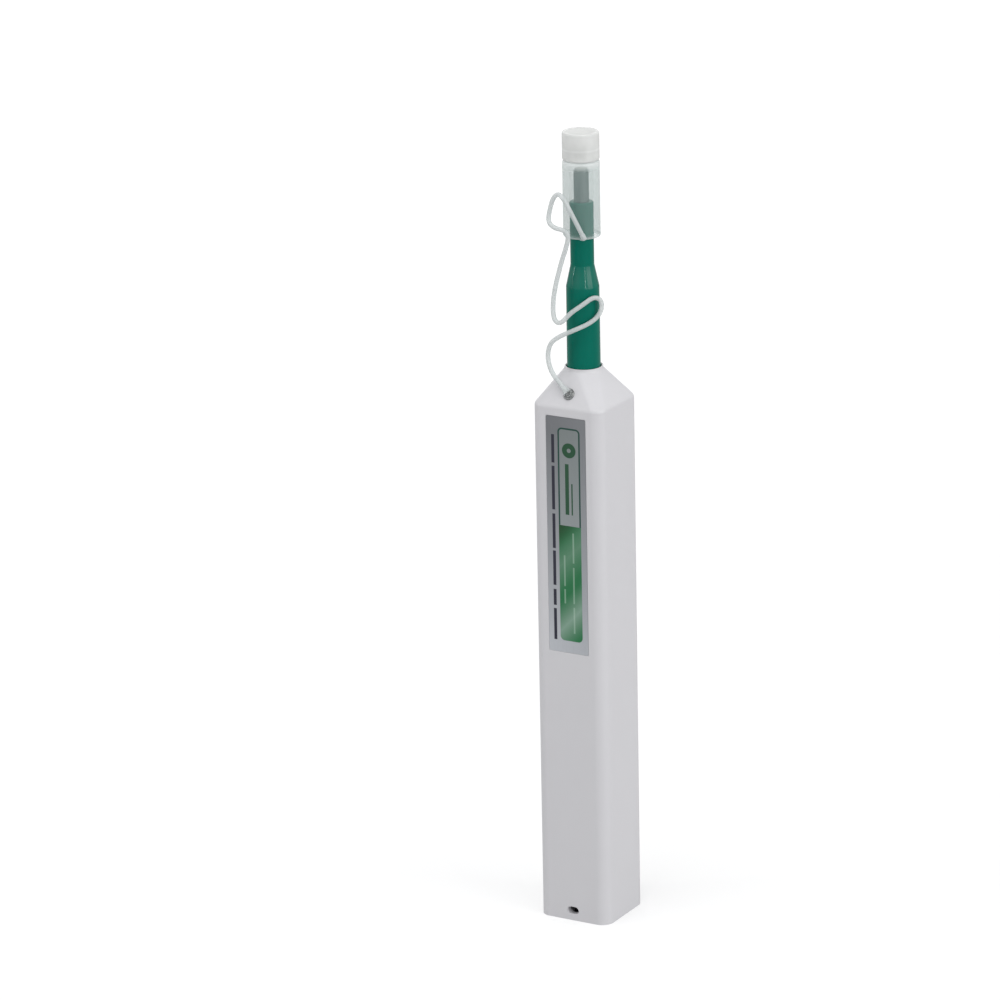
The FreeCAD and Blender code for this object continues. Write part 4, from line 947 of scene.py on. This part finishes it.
class PEN_OT_housing(bpy.types.Operator):
    """The square body with its tapered shoulder, round collar, label recess and lanyard slot"""
    bl_idname = "pen.housing"
    bl_label = "Housing"

    def execute(self, context):
        sizes = context.scene.pen_housing
        half, top = high("housing_shell").x, high("housing_shell").z
        inner, neck, bore = half - sizes.wall, sizes.collar / 2, sizes.collar_bore / 2
        neck_level, dome, ceiling = top - sizes.collar_rise, top - 3.0 * MM, sizes.shoulder - 1.5 * MM
        wide = inner - sizes.wall
        shell = rounded_square("housing_body", half, sizes.corner, 0.0)
        bpy.ops.mesh.select_all(action="SELECT")
        bpy.ops.mesh.delete(type="ONLY_FACE")
        select_ring(shell, 0.0)
        raise_ring(sizes.shoulder)
        raise_ring(neck_level - sizes.shoulder)
        reshape_corners(shell, neck_level, (half, sizes.corner), (neck, neck * ROUND))
        select_ring(shell, neck_level)
        raise_ring(sizes.collar_rise)
        raise_ring(0.0)
        bpy.ops.transform.resize(value=(bore / neck, bore / neck, 1), center_override=(0, 0, top))
        raise_ring(dome - top)
        raise_ring(ceiling - dome)
        bpy.ops.transform.resize(value=(wide / bore, wide / bore, 1), center_override=(0, 0, ceiling))
        raise_ring(0.0)
        reshape_corners(shell, ceiling, (wide, wide * ROUND), (inner, sizes.corner - sizes.wall),
                        open_edges(shell, ceiling)[1])
        self.close(shell, ceiling)
        self.round_edges(shell, sizes, neck_level, neck)
        self.recesses(shell, half, inner)
        soften(shell, sizes.rim, 55)
        finished(shell, "body_grey", "housing", "housing_shell", degrees=24)
        return {"FINISHED"}

    def close(self, shell, ceiling):
        """The inner wall runs down to the open rear and meets the outer one there.

        Known fault: select_ring leaves the ceiling's faces selected, so their other edges are drawn down
        as well and stay inside the body as a second wall and fins.
        """
        select_ring(shell, ceiling)
        edges = open_edges(shell, ceiling)[0]
        bpy.ops.object.mode_set(mode="OBJECT")
        for edge in shell.data.edges:
            edge.select = edge.index in edges
        bpy.ops.object.mode_set(mode="EDIT")
        raise_ring(-ceiling)
        select_ring(shell, 0.0)
        bpy.ops.mesh.bridge_edge_loops()
        bpy.ops.object.mode_set(mode="OBJECT")
        tidy_normals(shell)

    def round_edges(self, shell, sizes, neck_level, neck):
        """Softens the edges of the taper, of the collar's foot and of the rear end."""
        half, straight = high("housing_shell").x, high("housing_shell").x - sizes.corner
        bore_line = sizes.corner - sizes.wall / 2

        def on_shoulder(place):
            return abs(place.z - sizes.shoulder) < TINY and max(abs(place.x), abs(place.y)) > half - 3 * MM

        def under_collar(place):
            return abs(place.z - neck_level) < TINY and place.xy.length > neck - 0.2 * MM

        def on_foot(place):
            beyond = [max(abs(value) - straight, 0) for value in place.xy]
            return abs(place.z) < TINY and math.hypot(*beyond) > bore_line
        bpy.ops.object.mode_set(mode="EDIT")
        for test, offset, segments in ((on_shoulder, sizes.shoulder_round, 5), (under_collar, 0.28 * MM, 3),
                                       (on_foot, sizes.foot, 4)):
            select_where(shell, "EDGE", test)
            bpy.ops.mesh.bevel(offset=offset, segments=segments, affect="EDGES")
        bpy.ops.object.mode_set(mode="OBJECT")

    def recesses(self, shell, half, inner):
        """Cuts the label recess, the lanyard slot, the knob's pocket and the pin's seat."""
        gap, deep = 0.05 * MM, 0.15 * MM
        size = high("face_label") - low("face_label")
        middle = (high("face_label") + low("face_label")) / 2
        carve(shell, block("cutter", (size.x + gap * 2, deep * 2, size.z + gap * 2), (0, -half, middle.z)))
        carve(shell, slot_cutter(half))
        knob, slope, outwards = knob_seat()
        pin_level, pin_depth, pin_inset = 90.0 * MM, 4.2 * MM, 0.7 * MM
        for sides, radius, depth, turn, place in (
                (48, 1.35 * MM, 2.0 * MM, (slope, 0, 0), knob - outwards * (0.225 * MM)),
                (40, 1.26 * MM, pin_depth, (0, math.pi / 2, 0),
                 (pin_depth / 2 - inner - pin_inset, 0, pin_level))):
            clear()
            bpy.ops.mesh.primitive_cylinder_add(vertices=sides, radius=radius, depth=depth, rotation=turn,
                                                location=place)
            carve(shell, named("cutter"))


def slot_cutter(half):
    """A bar of the lanyard slot's section, from the labelled face through to the far one."""
    wide, tall, level = 2.9 * MM, 1.8 * MM, 2.4 * MM
    cutter = block("cutter", (wide, half * 2.4, tall), (0, 0, level))
    bevel_bar(cutter, half, tall * 0.49, 8)
    return cutter


class PEN_OT_plug(bpy.types.Operator):
    """The rear plug with its lanyard tunnel and spring post"""
    bl_idname = "pen.plug"
    bl_label = "Rear plug"

    def execute(self, context):
        sizes, gap, tall = context.scene.pen_housing, 0.1 * MM, 7.2 * MM
        post_wide, post_top, sunk = 3.0 * MM, tall + 3.8 * MM, tall - 0.5 * MM
        plug = rounded_square("rear_plug", high("end_plug").x, sizes.corner - sizes.wall - gap, 0.0, 8)
        bpy.ops.mesh.select_all(action="SELECT")
        bpy.ops.mesh.extrude_region_move(TRANSFORM_OT_translate={"value": (0, 0, tall)})
        bpy.ops.object.mode_set(mode="OBJECT")
        tidy_normals(plug)
        post = turned("post", rounded(((0.0, sunk, 0), (post_wide, sunk, 0), (post_wide, post_top, 0.4 * MM),
                                       (0.0, post_top, 0))), 48)
        carve(plug, post, "UNION")
        carve(plug, slot_cutter(high("housing_shell").x))
        soften(plug, 0.18 * MM, 55)
        # Painted shade: the plug takes the black finish in place of its grey slot, so the lanyard tunnel
        # through it looks dark.
        finished(plug, "body_grey", "housing", "end_plug", finish="cam_black", degrees=30)
        return {"FINISHED"}


class PEN_OT_label(bpy.types.Operator):
    """The label in its recess"""
    bl_idname = "pen.label"
    bl_label = "Label"

    def execute(self, context):
        near, far = low("face_label"), high("face_label")
        size = far - near
        label = block("label_film", size, (near + far) / 2)
        bevel_bar(label, size.y / 2, 0.35 * MM, 5)
        soften(label, 0.03 * MM, 60, 2)
        finished(label, "label_print", "housing", "face_label", degrees=30)
        return {"FINISHED"}


# ---------------------------------------------------------------- nozzle

class PEN_OT_nozzle(bpy.types.Operator):
    """The green nozzle with its soft step and its steel sleeve"""
    bl_idname = "pen.nozzle"
    bl_label = "Nozzle and sleeve"

    def execute(self, context):
        sizes = context.scene.pen_nozzle
        bottom, top, flange = low("nozzle").z, high("nozzle").z, high("nozzle").x
        sleeve_low, sleeve_top = low("guide_sleeve").z, high("guide_sleeve").z
        wide, narrow, sleeve = sizes.wide / 2, sizes.narrow / 2, sizes.sleeve / 2
        drum_bore, drum_roof, thread_bore, sleeve_bore = 3.15 * MM, 110.5 * MM, 1.5 * MM, 1.35 * MM
        flange_top, seat, shank = bottom + 6 * MM, sleeve + 0.01 * MM, 3.85 * MM
        nozzle = turned("nozzle_barrel", rounded((
            (drum_bore, bottom, 0.1 * MM), (flange, bottom, 0.2 * MM), (flange, flange_top, 0.2 * MM),
            (shank, flange_top, 0.15 * MM), (wide, sizes.step_low, 1.6 * MM),
            (narrow, sizes.step_high, 1.6 * MM), (narrow, top, 0.3 * MM), (seat, top, 0.08 * MM),
            (seat, sleeve_low, 0), (thread_bore, sleeve_low, 0), (thread_bore, drum_roof, 0),
            (drum_bore, drum_roof, 0)), 8), 128)
        finished(nozzle, "nozzle_green", "carriage", "nozzle", degrees=30)
        tube = turned("steel_sleeve", rounded((
            (sleeve_bore, sleeve_low, 0.05 * MM), (sleeve, sleeve_low, 0.05 * MM),
            (sleeve, sleeve_top, 0.15 * MM), (sleeve_bore, sleeve_top, 0.1 * MM)), 4), 96)
        finished(tube, "steel", "carriage", "guide_sleeve", degrees=30)
        return {"FINISHED"}


# ---------------------------------------------------------------- caps

def about_hinge(place):
    """A place given with the hinge towards +Y, turned to where the hinge is."""
    return Matrix.Rotation(TURN, 3, "Z") @ Vector(place)


def hinge_block(name, size, place, ease):
    """A small bevelled block beside the hinge."""
    lug = block(name, size, about_hinge(place), ease)
    lug.rotation_euler = (0, 0, TURN)
    return lug


def add_lug(piece, level):
    """Joins a hinge lug to the cap or the lid at this height."""
    lug = hinge_block("lug", (3.0 * MM, 1.1 * MM, 1.9 * MM), (0, 4.45 * MM, level), 0.12 * MM)
    carve(piece, lug, "UNION")


class PEN_OT_guide_cap(bpy.types.Operator):
    """The frosted guide cap with its hinge lug and tether tab, and the tether's end on it"""
    bl_idname = "pen.guide_cap"
    bl_label = "Guide cap"

    def execute(self, context):
        sizes = context.scene.pen_cap
        wide, bore, hole = sizes.width / 2, sizes.bore / 2, sizes.ferrule / 2
        bottom, top, edge = low("guide_cap").z, high("guide_cap").z, sizes.edge
        spigot, roof, lug_drop, tail_wide = 2.8 * MM, 177.0 * MM, 1.2 * MM, 0.62 * MM
        cap = turned("frosted_cap", rounded((
            (bore, bottom, 0.15 * MM), (wide, bottom, edge), (wide, sizes.seam, edge * 1.2),
            (spigot, sizes.seam, 0.08 * MM), (spigot, top, 0.12 * MM), (hole, top, 0.3 * MM),
            (hole, roof, 0.15 * MM), (bore, roof, 0.3 * MM)), 5), 112)
        add_lug(cap, sizes.seam - lug_drop)
        tab = hinge_block("tab", (1.1 * MM, 1.5 * MM, 0.6 * MM), (0, -4.5 * MM, bottom + 0.5 * MM), 0.15 * MM)
        carve(cap, tab, "UNION")
        finished(cap, "frosted_cap", "cap", "guide_cap", degrees=35)
        end, before = (Vector(ROUTE[index]) * MM for index in (-1, -2))
        lean = (end - before).normalized()
        span = (end.z - bottom - 0.3 * MM) / -lean.z
        tail = turned("tether_tail", rounded((
            (0.0, 0.0, 0), (tail_wide, 0.0, 0.12 * MM), (tail_wide, span, 0.2 * MM), (0.0, span, 0)), 4), 32)
        tail.rotation_euler = lean.to_track_quat("Z", "Y").to_euler()
        tail.location = end
        finished(tail, "tether_clear", "cap", "guide_cap", degrees=40)
        return {"FINISHED"}


class PEN_OT_lid(bpy.types.Operator):
    """The flip lid, slightly domed and hollow over the cap's spigot"""
    bl_idname = "pen.lid"
    bl_label = "Lid and hinge strap"

    def execute(self, context):
        sizes = context.scene.pen_cap
        wide, bottom, top = sizes.width / 2, low("cap_lid").z, high("cap_lid").z
        room, ceiling, lug_rise, bend = 3.05 * MM, 181.25 * MM, 1.2 * MM, 1.0 * MM
        lid = turned("cap_top", rounded((
            (0.0, ceiling, 0), (room, ceiling, 0.4 * MM), (room, bottom, 0.12 * MM),
            (wide, bottom, sizes.edge * 1.1), (wide, top - 0.12 * MM, sizes.lid_edge),
            (wide * 0.55, top, 2.0 * MM), (0.0, top, 0)), 6), 112)
        add_lug(lid, sizes.seam + lug_rise)
        finished(lid, "frosted_cap", "lid", "cap_lid", finish="milky_lid", degrees=35)
        strap = hinge_block("hinge_strap", (2.7 * MM, 0.3 * MM, 2.6 * MM), (0, 5.15 * MM, sizes.seam),
                            0.1 * MM)
        pick(strap)
        edit_all()
        bpy.ops.mesh.subdivide(number_cuts=5)
        bpy.ops.object.mode_set(mode="OBJECT")
        finished(strap, "frosted_cap", None, "lid_hinge", finish="milky_lid", degrees=40)
        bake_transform(strap)
        return {"FINISHED"}


# ---------------------------------------------------------------- works

# The finish of each CAD node that keeps its own shape.
KEPT = {
    "cam_pin": "steel", "drive_rack": "gear_white", "carriage_frame": "frame_white",
    "frame_cover": "frame_white", "cover_screws": "axle_steel", "supply_axle": "axle_steel",
    "takeup_axle": "axle_steel", "ratchet_pawl": "spring_steel", "roller_pin": "axle_steel",
    "thread_run": "thread_white", "supply_reel": "reel_blue", "fresh_thread": "thread_white",
    "takeup_reel": "reel_blue", "used_thread": "thread_white", "drive_pinion": "gear_white",
    "thread_roller": "gear_white", "cam_drum": "cam_black", "cleaning_tip": "tip_white",
    "tip_thread": "thread_white",
}


class PEN_OT_works(bpy.types.Operator):
    """Finishes of the inner works, which keep their CAD shapes"""
    bl_idname = "pen.works"
    bl_label = "Inner works"

    def execute(self, context):
        for node, slot in KEPT.items():
            for place in frame["nodes"][node].material_slots:
                place.material = FINISHES[slot]
        return {"FINISHED"}


def spring(name, mean, wire, start, end, turns):
    """A coil spring: a ring of wire that is spun, then raised between its closed end turns."""
    sides, steps, closed = 10, 28, 0.75
    clear()
    bpy.ops.mesh.primitive_circle_add(vertices=sides, radius=wire / 2, rotation=(math.pi / 2, 0, 0),
                                      location=(mean, 0, start + wire / 2))
    piece = named(name)
    settle(piece)
    edit_all()
    bpy.ops.mesh.spin(steps=int(steps * turns), angle=-math.tau * turns, center=(0, 0, 0), axis=(0, 0, 1))
    bpy.ops.object.mode_set(mode="OBJECT")
    rings = len(piece.data.vertices) // sides
    for number in range(rings):
        share = min(max((number / (rings - 1) * turns - closed) / (turns - 2 * closed), 0.0), 1.0)
        for corner in range(sides):
            piece.data.vertices[number * sides + corner].co.z += share * (end - start - wire)
    return piece


class PEN_OT_springs(bpy.types.Operator):
    """The return spring and the tip spring"""
    bl_idname = "pen.springs"
    bl_label = "Springs"

    def execute(self, context):
        for node, mean, wire, turns, bodies in (
                ("return_spring", 4.1 * MM, 0.8 * MM, 7.5, ("housing", "carriage")),
                ("tip_spring", 2.62 * MM, 0.42 * MM, 4.5, ("drum", "tip"))):
            start, end = low(node).z, high(node).z
            coil = spring(node + "_coil", mean, wire, start, end, turns)
            tidy_normals(coil)
            pick(coil)
            bpy.ops.object.mode_set(mode="EDIT")
            bpy.ops.mesh.select_mode(type="EDGE")
            bpy.ops.mesh.select_all(action="DESELECT")
            bpy.ops.mesh.select_non_manifold()
            bpy.ops.mesh.fill_holes(sides=0)
            bpy.ops.mesh.select_all(action="SELECT")
            bpy.ops.mesh.normals_make_consistent(inside=False)
            bpy.ops.object.mode_set(mode="OBJECT")
            finished(coil, "spring_steel", None, node, degrees=50)
            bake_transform(coil)
        return {"FINISHED"}


# ---------------------------------------------------------------- panel and start

OPERATORS = (PEN_OT_stage, PEN_OT_tether, PEN_OT_knob, PEN_OT_housing, PEN_OT_plug, PEN_OT_label,
             PEN_OT_nozzle, PEN_OT_guide_cap, PEN_OT_lid, PEN_OT_works, PEN_OT_springs)
GROUPS = {"pen_housing": HousingSizes, "pen_nozzle": NozzleSizes, "pen_cap": CapSizes,
          "pen_tether": TetherSizes, "pen_colours": Colours}


class PEN_PT_panel(bpy.types.Panel):
    """Lists the pen's sizes, colours and pieces"""
    bl_idname = "PEN_PT_panel"
    bl_label = "Cleaning Pen"
    bl_space_type = "VIEW_3D"
    bl_region_type = "UI"
    bl_category = "Cleaning Pen"

    def draw(self, context):
        for group, kind in GROUPS.items():
            box = self.layout.box()
            for word in kind.__annotations__:
                box.prop(getattr(context.scene, group), word)
        for operator in OPERATORS:
            self.layout.operator(operator.bl_idname)


CLASSES = (*GROUPS.values(), *OPERATORS, PEN_PT_panel)


def register():
    for kind in CLASSES:
        bpy.utils.register_class(kind)
    for word, kind in GROUPS.items():
        setattr(bpy.types.Scene, word, bpy.props.PointerProperty(type=kind))


def unregister():
    for word in GROUPS:
        delattr(bpy.types.Scene, word)
    for kind in reversed(CLASSES):
        bpy.utils.unregister_class(kind)


def main():
    """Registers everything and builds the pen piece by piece."""
    register()
    make_finishes(bpy.context.scene.pen_colours)
    for operator in OPERATORS:
        group, name = operator.bl_idname.split(".")
        getattr(getattr(bpy.ops, group), name)()
    clear()


if __name__ == "__main__":
    main()
